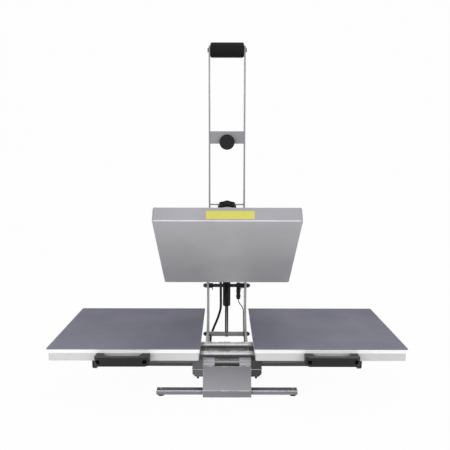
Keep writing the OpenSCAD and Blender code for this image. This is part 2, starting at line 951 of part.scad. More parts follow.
// Route of the thin lead, from the micro switch to the power box
route_unit = 1;
function on_route(points) = [
    for (p = points)
        [p[0] * route_unit, hinge_y + p[1] * route_unit, p[2] * route_unit]
];
switch_route = on_route([
    [40, -31, 166], [40.5, -31, 160], [43, -30, 152], [48, -28, 145], [53, -26, 137],
    [56.5, -25, 128], [57.5, -25, 119], [57.5, -26, 110], [57.5, -28, 101],
    [57.5, -32, 91], [57.5, -38, 82.5], [57.5, -46, 75], [57.5, -56, 68.5],
    [57.5, -68, 63.5], [57.5, -81, 60], [57.5, -95, 58], [57.5, -110, 57.5],
    [57.5, -126, 57.5], [57.5, -141, 57.5], [56.5, -154, 57.5], [55, -165, 57.5],
    [54, -175, 57.5], [54, -182, 57.5]
]);
module switch_lead() {
    color(black)
    swept_tube(switch_route, switch_lead_d / 2, 8, [0, 0, -1], [0, -1, 0]);
}

// Cable glands, each a nut and a neck with a blind mouth for the lead
module gland(x, y, z) {
    difference() {
        union() {
            bar_y(y, y + gland_nut, gland_r, x, z);
            bar_y(y, y + gland_len, gland_neck_r, x, z);
        }
        bar_y(y + gland_len - gland_sink, y + gland_len + over, lead_r + seat_fit, x, z);
    }
}
module base_gland() {
    color(black)
    gland(base_gland_x, box_rear, inlet_z);
}
head_gland_z = cover_low + head_gland_up;
module head_gland() {
    color(black)
    open_head()
    gland(lead_x, head_w / 2, head_gland_z);
}

// Route of the lead from the head's gland down to the base's gland
lead_start = turn([head_w / 2 + gland_len, head_gland_z], hinge_c, -head_tilt);
lead_dir = [0, cos(head_tilt), -sin(head_tilt)];
lead_route = concat(
    [[lead_x, lead_start[0], lead_start[1]]],
    on_route([
        [-19.5, -132.9, 246.6], [-19.5, -114.6, 229.8], [-19.5, -97.8, 212.1],
        [-19.5, -82.1, 193.7], [-19.5, -67.6, 174.6], [-19.5, -54, 155.1],
        [-20.5, -41.1, 135.4], [-24.5, -28.9, 115.5], [-30, -17.2, 95.6],
        [-36.5, -5.8, 76], [-40.5, -1.8, 65.5], [-45, -1.2, 54.2], [-49.5, -4.1, 43.4],
        [-53, -10.2, 33.9], [-55, -19, 26.8], [-55, -28.3, 23.1], [-55, -37, 22],
        [-55, -54, 22], [-54.5, -70, 22], [-54, -78, 22], [-51.5, -92.4, 23.9],
        [-48.5, -106.8, 28.5], [-45.5, -121.2, 34], [-43, -135.6, 38.6], [-42, -150, 40.5]
    ]),
    [[base_gland_x, box_rear + gland_len, inlet_z]]
);
module head_lead() {
    color(black)
    swept_tube(lead_route, lead_r, lead_sides, lead_dir, [0, -1, 0]);
}

// Slide rails and the brackets that tie their ends to the trays
module slide_rails() {
    color(bright)
    for (y = rail_ys)
        bar_x(-end_out + over, end_out - over, rail_r, y, rail_z);
}
module end_bracket() {
    difference() {
        union() {
            side_slab(end_in, end_t)
            polygon([
                [end_front + end_cut, end_low],
                [end_rear - end_cut, end_low],
                [end_rear, end_low + end_cut],
                [end_rear, tray_z],
                [end_front, tray_z],
                [end_front, end_low + end_cut]
            ]);
            translate([end_in - flange_len, end_front, tray_z - flange_t])
            cube([flange_len + over, end_rear - end_front, flange_t]);
        }
        for (y = rail_ys)
            bar_x(end_in - over, end_out + over, rail_r + seat_fit, y, rail_z);
        for (y = beam_ys)
            translate([end_in - flange_len / 2, y, tray_z - flange_t - over])
            cylinder(r = bolt_r + seat_fit, h = flange_t + 2 * over);
    }
}
module end_brackets() {
    color(black)
    for (sx = [-1, 1])
        mirror([sx < 0 ? 1 : 0, 0, 0])
        end_bracket();
}

// Channel beams under each tray, clear of the bearing blocks
beam_in = station_gap / 2 + beam_inset;
beam_out = end_in - flange_len - side_fit;
module support_beams() {
    color(mid_grey)
    for (sx = [-1, 1], y = beam_ys)
        mirror([sx < 0 ? 1 : 0, 0, 0])
        difference() {
            translate([beam_in, y - beam_w / 2, beam_low])
            cube([beam_out - beam_in, beam_w, tray_z - beam_low]);
            translate([beam_in - over, y - beam_w / 2 + beam_wall, beam_low - over])
            cube([beam_out - beam_in + 2 * over, beam_w - 2 * beam_wall,
                tray_z - beam_low - beam_wall + over]);
        }
}

// Tray, plate and pad of one station
module tray(sx) {
    color(light_grey)
    translate([sx * station_x, 0, tray_z])
    difference() {
        round_box(tray_w, tray_w, tray_h, tray_corner);
        translate([0, 0, tray_wall])
        round_box(tray_w - 2 * tray_wall, tray_w - 2 * tray_wall, tray_h, tray_corner - tray_wall);
        for (hx = [-1, 1])
            bar_y(-tray_w / 2 - over, -tray_w / 2 + tray_wall + over, handle_shank_r + seat_fit,
                hx * handle_screw_x, handle_z - tray_z);
        for (y = beam_ys)
            translate([sx * (end_in - flange_len / 2 - station_x), y, -over])
            cylinder(r = bolt_r + seat_fit, h = tray_wall + 2 * over);
    }
}
module left_tray() { tray(-1); }
module right_tray() { tray(1); }
module platen(sx) {
    color(bright)
    translate([sx * station_x - plate_w / 2, -plate_w / 2, tray_top])
    cube([plate_w, plate_w, plate_t]);
}
module left_platen() { platen(-1); }
module right_platen() { platen(1); }
module pad(sx) {
    color(slate)
    translate([sx * station_x - pad_w / 2, -pad_w / 2, plate_top])
    cube([pad_w, pad_w, pad_t]);
}
module left_pad() { pad(-1); }
module right_pad() { pad(1); }

// Pull handle: a bow with two feet, each with a sunk screw
module handle(sx) {
    color(dark_grey)
    translate([sx * station_x, -tray_w / 2, handle_z - handle_h / 2])
    difference() {
        linear_extrude(height = handle_h)
        polygon([
            [-handle_len / 2, 0],
            [-handle_len / 2, -handle_reach + handle_corner],
            [-handle_len / 2 + handle_corner, -handle_reach],
            [handle_len / 2 - handle_corner, -handle_reach],
            [handle_len / 2, -handle_reach + handle_corner],
            [handle_len / 2, 0],
            [handle_len / 2 - handle_foot, 0],
            [handle_len / 2 - handle_foot - handle_corner, -handle_reach + handle_grip],
            [-handle_len / 2 + handle_foot + handle_corner, -handle_reach + handle_grip],
            [-handle_len / 2 + handle_foot, 0]
        ]);
        for (hx = [-1, 1]) {
            bar_y(-handle_reach - over, -handle_bore_rest, handle_bore_r,
                hx * handle_screw_x, handle_h / 2);
            bar_y(-handle_reach, over, handle_shank_r + seat_fit,
                hx * handle_screw_x, handle_h / 2);
        }
        translate([-handle_len, -plate_lip - side_fit,
            tray_top - side_fit - handle_z + handle_h / 2])
        cube([2 * handle_len, plate_lip + side_fit + over, handle_h]);
    }
}
module left_handle() { handle(-1); }
module right_handle() { handle(1); }

// Screws of the handles and of the end brackets
bracket_screw_up = 6;
module carriage_screws() {
    color(bright) {
        for (sx = [-1, 1], hx = [-1, 1])
            union() {
                bar_y(-tray_w / 2 - handle_bore_rest - handle_head_h,
                    -tray_w / 2 - handle_bore_rest, handle_head_r,
                    sx * station_x + hx * handle_screw_x, handle_z);
                bar_y(-tray_w / 2 - handle_bore_rest - over,
                    -tray_w / 2 + handle_shank_in, handle_shank_r,
                    sx * station_x + hx * handle_screw_x, handle_z);
            }
        for (sx = [-1, 1], y = beam_ys)
            translate([sx * (end_in - flange_len / 2), y, tray_z - flange_t])
            union() {
                translate([0, 0, -bolt_head_h])
                cylinder(r = bolt_head_r, h = bolt_head_h);
                translate([0, 0, -over])
                cylinder(r = bolt_r, h = bracket_screw_up + over);
            }
    }
}

// Head cover: a folded pan, open below, over the heating platen
module head_cover() {
    color(light_grey)
    open_head()
    difference() {
        translate([0, 0, cover_low])
        round_box(head_w, head_w, cover_top - cover_low, cover_corner);
        translate([0, 0, cover_low - over])
        round_box(head_w - 2 * cover_wall, head_w - 2 * cover_wall,
            board_top - cover_low + over, cover_corner - cover_wall);
        for (sx = [-1, 1], sy = [-1, 1])
            translate([sx * cover_screw_at, sy * cover_screw_at, cover_top - 2 * cover_wall])
            cylinder(r = cover_screw_r + seat_fit, h = 4 * cover_wall);
    }
}
module heating_platen() {
    color("#9C9BA0")
    open_head()
    difference() {
        translate([0, 0, face_z])
        round_box(hot_w, hot_w, hot_t, cover_corner - cover_wall);
        for (sx = [-1, 1], sy = [-1, 1])
            translate([sx * cover_screw_at, sy * cover_screw_at, hot_top - cover_screw_deep])
            cylinder(r = cover_screw_r + seat_fit, h = cover_screw_deep + over);
    }
}

// Tubular heater bent in four runs on top of the platen
element_z = hot_top + element_r;
module half_bend(x, y, side) {
    translate([x, y, element_z])
    rotate([0, 0, side > 0 ? -90 : 90])
    rotate_extrude(angle = 180)
    translate([element_pitch / 2, 0])
    circle(r = element_r, $fn = 24);
}
module heater_element() {
    color(dark_grey)
    open_head()
    union() {
        for (k = [-1.5:1:1.5])
            bar_x(-element_half, element_half, element_r, k * element_pitch, element_z, $fn = 24);
        half_bend(element_half, -element_pitch, 1);
        half_bend(-element_half, 0, -1);
        half_bend(element_half, element_pitch, 1);
    }
}
module insulation_board() {
    color("#E8E4D8")
    open_head()
    translate([-board_w / 2, -board_w / 2, board_top - board_t])
    cube([board_w, board_w, board_t]);
}
module cover_screws() {
    color(bright)
    open_head()
    for (sx = [-1, 1], sy = [-1, 1])
        translate([sx * cover_screw_at, sy * cover_screw_at, 0])
        union() {
            translate([0, 0, hot_top - cover_screw_deep + seat_fit])
            cylinder(r = cover_screw_r, h = cover_top - hot_top + cover_screw_deep);
            translate([0, 0, cover_top])
            cylinder(r = cover_head_r, h = cover_head_h);
        }
}

// Plate on the cover that takes the screw's push and carries the magnet
module pressure_plate() {
    color(mid_grey)
    open_head()
    translate([-press_plate_half, press_plate_front, cover_top])
    cube([2 * press_plate_half, press_plate_rear - press_plate_front, press_plate_t]);
}

// Yoke: two arms, a hinge tube and a threaded block between the arms
yoke_tail = 48;
yoke_rear_low = [press_plate_rear + yoke_tail, press_plate_top];
module yoke_arm() {
    side_slab(yoke_in, yoke_t)
    polygon([
        [press_plate_front, press_plate_top],
        yoke_rear_low,
        [gas_slot_a[0] + gas_boss_r / 2, gas_slot_a[1] - gas_boss_r - 2 * loose_fit],
        [hinge_y + hinge_boss_r / 3, hinge_z - hinge_boss_r + over],
        [hinge_y - hinge_boss_r / 3, hinge_z + hinge_boss_r - over],
        [slot_a[0] - slot_boss_r / 3, slot_a[1] + slot_boss_r - over],
        [slot_b[0] - slot_boss_r, slot_b[1] - slot_boss_r],
        [press_plate_rear, press_plate_top + yoke_beam_h],
        [-2 * block_half, press_plate_top + yoke_beam_h],
        [-3 * block_half, press_plate_top + yoke_nose_h],
        [press_plate_front, press_plate_top + yoke_nose_h]
    ]);
    bar_x(yoke_in, yoke_out, hinge_boss_r, hinge_y, hinge_z);
    bar_x(yoke_in, yoke_out, slot_boss_r, slot_a[0], slot_a[1]);
}
module head_yoke() {
    color(dark_grey)
    open_head()
    difference() {
        union() {
            yoke_arm();
            mirror([1, 0, 0])
            yoke_arm();
            bar_x(-yoke_in - over, yoke_in + over, hinge_tube_r, hinge_y, hinge_z);
            translate([-yoke_in - over, -block_half, press_plate_top + block_lift])
            cube([2 * (yoke_in + over), 2 * block_half,
                yoke_beam_h - block_lift - 2 * over]);
        }
        bar_x(-yoke_out - over, yoke_out + over, hinge_r + run_fit, hinge_y, hinge_z);
        translate([0, 0, press_plate_top])
        cylinder(r = screw_d / 2 + run_fit, h = 2 * yoke_beam_h);
        slot_x(slot_a, slot_b, crank_slot_r, -yoke_out - over, yoke_out + over);
        slot_x(gas_slot_a, gas_slot_b, gas_slot_r, -yoke_out - over, yoke_out + over);
    }
}

// Pressure screw and the star knob on top of it
knob_top = face_z + knob_top_up;
knob_low = knob_top - knob_h;
screw_top = knob_low + knob_h / 2;
collar_z = press_plate_top + yoke_beam_h - 2 * over + collar_gap;
module pressure_screw() {
    color(bright)
    open_head()
    union() {
        translate([0, 0, press_plate_top + screw_len_down])
        cylinder(r = screw_d / 2, h = screw_top - press_plate_top - screw_len_down);
        translate([0, 0, collar_z])
        cylinder(r = collar_r, h = collar_h);
    }
}
knob_waist = 6;
knob_core_r = knob_d / 2 - knob_waist;
knob_lobe_r = 9;
knob_lobes = 7;
knob_hub_r = 13;
knob_hub_h = 10;
knob_crown_h = 5;
module pressure_knob() {
    color(black)
    open_head()
    translate([0, 0, knob_low])
    difference() {
        union() {
            translate([0, 0, knob_hub_h])
            cylinder(r = knob_core_r, h = knob_h - knob_hub_h);
            for (k = [0:knob_lobes - 1])
                rotate([0, 0, 360 * k / knob_lobes - 90])
                translate([knob_d / 2 - knob_lobe_r, 0, knob_hub_h])
                cylinder(r = knob_lobe_r, h = knob_h - knob_hub_h - knob_crown_h / 2);
            cylinder(r = knob_hub_r, h = knob_hub_h + over);
        }
        translate([0, 0, -over])
        cylinder(r = screw_d / 2 + seat_fit, h = screw_top - knob_low + over + seat_fit);
    }
}

// Electromagnet that holds the lever down
module electromagnet() {
    color(black)
    open_head()
    translate([0, magnet_y, press_plate_top])
    difference() {
        cylinder(r = magnet_d / 2, h = magnet_top - press_plate_top);
        translate([0, 0, magnet_top - press_plate_top - magnet_slot])
        difference() {
            cylinder(r = magnet_d / 2 - magnet_base_h, h = magnet_slot + over);
            translate([0, 0, -over])
            cylinder(r = magnet_pole_r, h = magnet_slot + 2 * over);
        }
    }
}

// Control box with a sloping nose, its display and three buttons
button_xs = [control_x - button_pitch, control_x, control_x + button_pitch];
module control_box() {
    color(dark_grey)
    open_head()
    difference() {
        side_slab(control_x - control_w / 2, control_w)
        polygon([
            [control_front, cover_top],
            [control_rear, cover_top],
            [control_rear, control_top],
            [control_front + control_slope, control_top],
            [control_front, cover_top + control_nose]
        ]);
        translate([control_x - display_w / 2 - button_fit, display_y - display_d / 2 - button_fit,
            control_top - display_t])
        cube([display_w + 2 * button_fit, display_d + 2 * button_fit, display_t + over]);
        for (x = button_xs)
            translate([x, button_y, control_top - button_deep - button_travel - over / 2])
            cylinder(r = button_r + button_fit, h = button_deep + button_travel + 2 * over);
    }
}
module control_display() {
    color("#20303A")
    open_head()
    translate([control_x - display_w / 2, display_y - display_d / 2, control_top - display_t])
    cube([display_w, display_d, display_t]);
}
module control_button(x) {
    color(light_grey)
    open_head()
    translate([x, button_y, control_top - button_deep])
    cylinder(r = button_r, h = button_deep + button_proud);
}
module set_button() { control_button(button_xs[0]); }
module up_button() { control_button(button_xs[1]); }
module down_button() { control_button(button_xs[2]); }

// Lever bars, with eyes for the pivot bolts and the pressure shaft
module lever_bar() {
    difference() {
        union() {
            side_slab(bar_in, bar_t)
            polygon([
                [pivot_y - bar_w / 2, pivot_z],
                [pivot_y + bar_w / 2, pivot_z],
                [pivot_y + bar_w / 2, grip_z],
                [pivot_y - bar_w / 2, grip_z]
            ]);
            side_slab(bar_in, bar_t)
            polygon([
                pivot_c,
                [open_crank[0] - crank_eye_r, open_crank[1]],
                [pivot_y - bar_w / 2, open_crank[1] + 2 * crank_r],
                [pivot_y, open_crank[1] + 2 * crank_r]
            ]);
            bar_x(bar_in, bar_out, pivot_eye_r, pivot_y, pivot_z);
            bar_x(bar_in, bar_out, crank_eye_r, open_crank[0], open_crank[1]);
            bar_x(bar_in, bar_out, bar_w / 2, pivot_y, grip_z);
        }
        bar_x(bar_in - over, bar_out + over, pivot_bolt_r + run_fit, pivot_y, pivot_z);
        bar_x(bar_in - over, bar_out + over, crank_pin_d / 2 + seat_fit,
            open_crank[0], open_crank[1]);
        bar_x(bar_in - over, bar_out + over, grip_bolt_r + seat_fit, pivot_y, grip_z);
        bar_x(bar_in - over, bar_out + over, tie_rod_r + seat_fit, pivot_y, pivot_z + tie_rod_up);
    }
}
module lever_bars() {
    color(light_grey) {
        lever_bar();
        mirror([1, 0, 0])
        lever_bar();
    }
}
module lever_crossbar() {
    color(mid_grey)
    difference() {
        union() {
            translate([-bar_in, crossbar_web_y, crossbar_z - crossbar_h / 2])
            cube([2 * bar_in, crossbar_t, crossbar_h]);
            for (sx = [-1, 1])
                mirror([sx < 0 ? 1 : 0, 0, 0])
                translate([bar_in - crossbar_t, crossbar_web_y, crossbar_z - crossbar_h / 2])
                cube([crossbar_t, bar_w - 2 * crossbar_t, crossbar_h]);
        }
        translate([0, disc_face_y, pivot_z + disc_up])
        rotate([-lever_turn, 0, 0])
        cylinder(r = grip_bolt_r + seat_fit, h = 2 * disc_out);
    }
}

// Armature disc, tilted so that it lands flat on the magnet
disc_face_y = pivot_y - disc_out;
disc_stem = 16;
module armature_disc() {
    color(black)
    translate([0, disc_face_y, pivot_z + disc_up])
    rotate([-lever_turn, 0, 0])
    union() {
        cylinder(r = disc_d / 2, h = disc_t);
        cylinder(r = disc_stem_r, h = disc_stem);
        cylinder(r = grip_bolt_r - grip_fit, h = disc_out - bar_w / 4);
    }
}
module lever_tie_rod() {
    color(bright)
    bar_x(-bar_out, bar_out, tie_rod_r, pivot_y, pivot_z + tie_rod_up);
}
module pressure_shaft() {
    color(bright)
    bar_x(-bar_out, bar_out, crank_pin_d / 2, open_crank[0], open_crank[1]);
}

// Hand grip between the bars, with rounded shoulders
grip_half = bar_in - grip_fit;
module hand_grip() {
    color(black)
    difference() {
        translate([-grip_half, pivot_y, grip_z])
        rotate([0, 90, 0])
        rotate_extrude()
        polygon(concat(
            [[0, 0], [grip_d / 2 - grip_round, 0]],
            [
                for (a = [15:15:75])
                    [grip_d / 2 - grip_round + grip_round * sin(a), grip_round - grip_round * cos(a)]
            ],
            [[grip_d / 2, grip_round], [grip_d / 2, 2 * grip_half - grip_round]],
            [
                for (a = [15:15:75])
                    [grip_d / 2 - grip_round + grip_round * cos(a),
                     2 * grip_half - grip_round + grip_round * sin(a)]
            ],
            [[grip_d / 2 - grip_round, 2 * grip_half], [0, 2 * grip_half]]
        ));
        bar_x(-bar_out, bar_out, grip_bolt_r + seat_fit, pivot_y, grip_z);
    }
}
module grip_bolts() {
    color(mid_grey)
    for (sx = [-1, 1])
        mirror([sx < 0 ? 1 : 0, 0, 0])
        union() {
            bar_x(bar_in / 2, bar_out, grip_bolt_r, pivot_y, grip_z);
            bar_x(bar_out, bar_out + grip_head_h, grip_head_r, pivot_y, grip_z);
        }
}

// Gas spring: the rod turns on the lower tie shaft, the body slides on the rod
module along_gas() {
    translate([0, lower_tie[0], lower_tie[1]])
    rotate([gas_lean, 0, 0])
    children();
}
module gas_rod() {
    color(mid_grey)
    along_gas()
    difference() {
        union() {
            bar_x(-eye_half, eye_half, gas_eye_r, 0, 0);
            translate([0, 0, gas_eye_r / 2])
            cylinder(r = gas_rod_r, h = gas_mouth + 2 * gas_guide - gas_eye_r / 2);
            translate([0, 0, gas_mouth + gas_guide + over])
            cylinder(r = gas_r - gas_wall - run_fit, h = piston_len);
        }
        bar_x(-eye_half - over, eye_half + over, lower_tie_r + run_fit, 0, 0);
    }
}
module gas_cylinder() {
    color(black)
    along_gas()
    difference() {
        union() {
            translate([0, 0, gas_mouth])
            cylinder(r = gas_r, h = gas_len - gas_mouth - gas_eye_r - gas_stem);
            bar_x(-gas_r, gas_r, gas_eye_r, 0, gas_len);
            translate([0, 0, gas_len - gas_eye_r - gas_stem - over])
            cylinder(r = gas_eye_r - over, h = gas_eye_r + gas_stem);
            bar_x(-yoke_out, yoke_out, gas_pin_r, 0, gas_len);
        }
        translate([0, 0, gas_mouth - over])
        cylinder(r = gas_rod_r + run_fit, h = gas_guide + 2 * over);
        translate([0, 0, gas_mouth + gas_guide])
        cylinder(r = gas_r - gas_wall, h = gas_len - gas_mouth - gas_guide - gas_eye_r - gas_stem
            - gas_cap);
    }
}

seat() left_side_plate();
seat() right_side_plate();
seat() front_panel();
seat() foot_bars();
seat() rubber_feet();
seat() base_screws();
seat() left_bearing_block();
seat() right_bearing_block();
seat() linear_bushes();
seat() rail_brackets();
seat() tie_shafts();
seat() shaft_nuts();
seat() spacer_sleeves();
seat() main_hinge_pin();
seat() lever_pivot_bolts();
seat() power_box();
seat() power_inlet();
seat() power_rocker();
seat() micro_switch();
seat() switch_lead();
seat() base_gland();
seat() slide_rails();
seat() end_brackets();
seat() support_beams();
seat() left_tray();
seat() right_tray();
seat() left_platen();
seat() right_platen();
seat() left_pad();
seat() right_pad();
seat() left_handle();
seat() right_handle();
seat() carriage_screws();
seat() head_cover();
seat() heating_platen();
seat() heater_element();
seat() insulation_board();
seat() head_yoke();
seat() pressure_plate();
seat() electromagnet();
seat() control_box();
seat() control_display();
seat() head_gland();
seat() cover_screws();
seat() set_button();
seat() up_button();
seat() down_button();
seat() pressure_screw();
seat() pressure_knob();
seat() lever_bars();
seat() lever_crossbar();
seat() armature_disc();
seat() lever_tie_rod();
seat() pressure_shaft();
seat() hand_grip();
seat() grip_bolts();
seat() gas_rod();
seat() gas_cylinder();
seat() head_lead();
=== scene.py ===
import json
import math

import bmesh
import bpy
from mathutils import Matrix, Vector
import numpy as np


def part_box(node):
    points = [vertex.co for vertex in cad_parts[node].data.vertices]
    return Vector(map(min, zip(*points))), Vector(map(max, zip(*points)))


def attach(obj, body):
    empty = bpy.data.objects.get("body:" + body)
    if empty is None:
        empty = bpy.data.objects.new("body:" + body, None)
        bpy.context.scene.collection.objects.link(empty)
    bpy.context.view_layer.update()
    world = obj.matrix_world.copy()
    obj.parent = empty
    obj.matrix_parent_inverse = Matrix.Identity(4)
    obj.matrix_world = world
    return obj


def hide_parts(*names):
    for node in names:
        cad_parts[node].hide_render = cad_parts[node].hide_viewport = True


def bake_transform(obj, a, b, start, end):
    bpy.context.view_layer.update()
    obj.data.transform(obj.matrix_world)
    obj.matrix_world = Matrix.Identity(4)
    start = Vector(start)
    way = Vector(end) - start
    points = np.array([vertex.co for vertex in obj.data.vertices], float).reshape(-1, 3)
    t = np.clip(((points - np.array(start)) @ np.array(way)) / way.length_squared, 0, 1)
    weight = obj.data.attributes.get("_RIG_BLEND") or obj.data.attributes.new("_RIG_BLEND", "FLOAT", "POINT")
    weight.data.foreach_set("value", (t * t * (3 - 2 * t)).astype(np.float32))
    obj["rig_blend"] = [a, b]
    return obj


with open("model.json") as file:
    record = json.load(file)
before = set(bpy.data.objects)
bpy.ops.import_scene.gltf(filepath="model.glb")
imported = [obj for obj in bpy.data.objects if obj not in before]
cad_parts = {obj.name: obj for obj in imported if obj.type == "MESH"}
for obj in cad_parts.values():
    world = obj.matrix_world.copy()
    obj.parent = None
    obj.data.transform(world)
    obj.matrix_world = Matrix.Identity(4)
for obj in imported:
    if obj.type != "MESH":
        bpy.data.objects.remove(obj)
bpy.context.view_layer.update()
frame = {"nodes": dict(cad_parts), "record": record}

# ------------ Studio
# A plain pale sweep of paper under and behind the press, lit by soft boxes.
# The camera stands where the photograph was taken, a little above the pads.


def placed(name, data):
    """A new object in the scene."""
    made = bpy.data.objects.new(name, data)
    bpy.context.collection.objects.link(made)
    return made


CAMERA_PLACE = (-0.007, -1.71975, 0.6573)
CAMERA_DOWN = 6.92
CAMERA_TURN = -0.03
CAMERA_ROLL = 0.1
camera_data = bpy.data.cameras.new("Camera")
camera_data.sensor_width = 36
camera_data.lens = 46.72
camera = placed("Camera", camera_data)
camera.matrix_world = (
    Matrix.Translation(CAMERA_PLACE)
    @ Matrix.Rotation(math.radians(CAMERA_TURN), 4, "Z")
    @ Matrix.Rotation(math.radians(90 - CAMERA_DOWN), 4, "X")
    @ Matrix.Rotation(math.radians(CAMERA_ROLL), 4, "Z")
)
bpy.context.scene.camera = camera
bpy.context.scene.view_settings.view_transform = "Standard"

# Each soft box has a place, a point that it faces, a side in metres and a power
for name, place, aim, side, power in (
    ("Key_Box", (-1.3, -2.5, 0.9), (0, 0, 0.35), 1.6, 20),
    ("Fill_Box", (1.5, -2.3, 0.8), (0, 0, 0.3), 1.6, 13),
    ("Top_Box", (0.1, -0.2, 2.6), (0, 0, 0), 1.8, 4),
    ("Back_Box", (0.4, 2.3, 1.7), (0, 0, 0.4), 1.4, 8),
):
    lamp = bpy.data.lights.new(name, "AREA")
    lamp.shape = "SQUARE"
    lamp.size = side
    lamp.energy = power
    box = placed(name, lamp)
    box.location = place
    box.rotation_euler = (Vector(aim) - Vector(place)).to_track_quat("-Z", "Y").to_euler()


def feed(tree, value, socket):
    """Links one socket into another, or writes a plain number or colour there."""
    if isinstance(value, bpy.types.NodeSocket):
        tree.links.new(value, socket)
    else:
        socket.default_value = value


def span_into(tree, value, low, high, to_low=0.0, to_high=1.0):
    """Maps a value from one span to another. The spans are numbers or sockets."""
    span = tree.nodes.new("ShaderNodeMapRange")
    feed(tree, value, span.inputs["Value"])
    feed(tree, low, span.inputs["From Min"])
    feed(tree, high, span.inputs["From Max"])
    feed(tree, to_low, span.inputs["To Min"])
    feed(tree, to_high, span.inputs["To Max"])
    return span.outputs[0]


def math_into(tree, operation, a, b):
    """Two values made one by an operation, such as MULTIPLY or MAXIMUM."""
    step = tree.nodes.new("ShaderNodeMath")
    step.operation = operation
    feed(tree, a, step.inputs[0])
    feed(tree, b, step.inputs[1])
    return step.outputs[0]


def seen_or_mirrored(tree):
    """One for a ray from the camera, a mirror or a glass, and zero for the others."""
    rays = tree.nodes.new("ShaderNodeLightPath").outputs
    seen = math_into(tree, "MAXIMUM", rays["Is Camera Ray"], rays["Is Glossy Ray"])
    return math_into(tree, "MAXIMUM", seen, rays["Is Transmission Ray"])


AIR_LIGHT = 0.7
world = bpy.data.worlds.new("Studio_Air")
bpy.context.scene.world = world
world.use_nodes = True
air = world.node_tree
air.nodes.clear()
air_light = air.nodes.new("ShaderNodeBackground")
air_out = air.nodes.new("ShaderNodeOutputWorld")
feed(air, (1, 1, 1, 1), air_light.inputs["Color"])
feed(air, span_into(air, seen_or_mirrored(air), 0.0, 1.0, AIR_LIGHT), air_light.inputs["Strength"])
feed(air, air_light.outputs[0], air_out.inputs["Surface"])

# The paper lies flat, bends up behind the press and hangs from above
SWEEP_FRONT = -4.0
SWEEP_BACK = 2.2
SWEEP_BEND = 1.2
SWEEP_BEND_STEPS = 12
SWEEP_TOP = 5.0
SWEEP_HALF = 5.0
PAPER_WHITE = 0.97
sweep_path = [(SWEEP_FRONT, 0.0), (SWEEP_BACK, 0.0)]
for k in range(1, SWEEP_BEND_STEPS + 1):
    turn = math.pi / 2 * k / SWEEP_BEND_STEPS
    sweep_path.append(
        (SWEEP_BACK + SWEEP_BEND * math.sin(turn), SWEEP_BEND * (1 - math.cos(turn)))
    )
sweep_path.append((SWEEP_BACK + SWEEP_BEND, SWEEP_TOP))
sweep_mesh = bpy.data.meshes.new("Paper_Sweep")
sweep_mesh.from_pydata(
    [(x, y, z) for y, z in sweep_path for x in (-SWEEP_HALF, SWEEP_HALF)],
    [],
    [(2 * k, 2 * k + 1, 2 * k + 3, 2 * k + 2) for k in range(len(sweep_path) - 1)],
)
for face in sweep_mesh.polygons:
    face.use_smooth = True
sweep = placed("Paper_Sweep", sweep_mesh)
paper = bpy.data.materials.new("White_Paper")
paper.use_nodes = True
sheet = paper.node_tree
sheet.nodes.clear()
paper_out = sheet.nodes.new("ShaderNodeOutputMaterial")
paper_mix = sheet.nodes.new("ShaderNodeMixShader")
paper_face = sheet.nodes.new("ShaderNodeBsdfDiffuse")
paper_white = sheet.nodes.new("ShaderNodeEmission")
feed(sheet, (0.8, 0.8, 0.8, 1), paper_face.inputs["Color"])
paper_share = math_into(sheet, "MULTIPLY", seen_or_mirrored(sheet), PAPER_WHITE)
feed(sheet, paper_share, paper_mix.inputs["Fac"])
feed(sheet, paper_face.outputs[0], paper_mix.inputs[1])
feed(sheet, paper_white.outputs[0], paper_mix.inputs[2])
feed(sheet, paper_mix.outputs[0], paper_out.inputs["Surface"])
sweep_mesh.materials.append(paper)

# ------------ Foot bars
# Two square steel bars across the base, sawn to length and powder coated
# dark grey. Each carries a rubber foot near both of its ends.

rides_on = {
    node: body
    for body, nodes in frame["record"]["behaviour"]["bodies"].items()
    for node in nodes
}
slot_of = {row["node"]: row["material_slot"] for row in frame["record"]["subparts"]}


def socket_on(tree, label, way, kind):
    """A new socket of a node group, for its INPUT or its OUTPUT."""
    return tree.interface.new_socket(name=label, in_out=way, socket_type="NodeSocket" + kind)


def finish_group(name, wanted):
    """A new shader group with those inputs, and Color, Roughness and Height going out."""
    group = bpy.data.node_groups.new(name, "ShaderNodeTree")
    for label, value in wanted.items():
        kind = "Float" if isinstance(value, float) else {3: "Vector", 4: "Color"}[len(value)]
        socket_on(group, label, "INPUT", kind).default_value = value
    for label, kind in (("Color", "Color"), ("Roughness", "Float"), ("Height", "Float")):
        socket_on(group, label, "OUTPUT", kind)
    start = group.nodes.new("NodeGroupInput").outputs
    return group, start, group.nodes.new("NodeGroupOutput").inputs


def noise_into(tree, scale, detail, vector=None):
    """A noise texture in a tree, read at the piece's own place."""
    if vector is None:
        vector = tree.nodes.new("ShaderNodeTexCoord").outputs["Object"]
    cloud = tree.nodes.new("ShaderNodeTexNoise")
    feed(tree, detail, cloud.inputs["Detail"])
    feed(tree, vector, cloud.inputs["Vector"])
    feed(tree, scale, cloud.inputs["Scale"])
    return cloud.outputs["Fac"]


def mix_into(tree, share, a, b):
    """One colour going over to another."""
    mix = tree.nodes.new("ShaderNodeMix")
    mix.data_type = "RGBA"
    feed(tree, share, mix.inputs["Factor"])
    feed(tree, a, mix.inputs["A"])
    feed(tree, b, mix.inputs["B"])
    return mix.outputs["Result"]


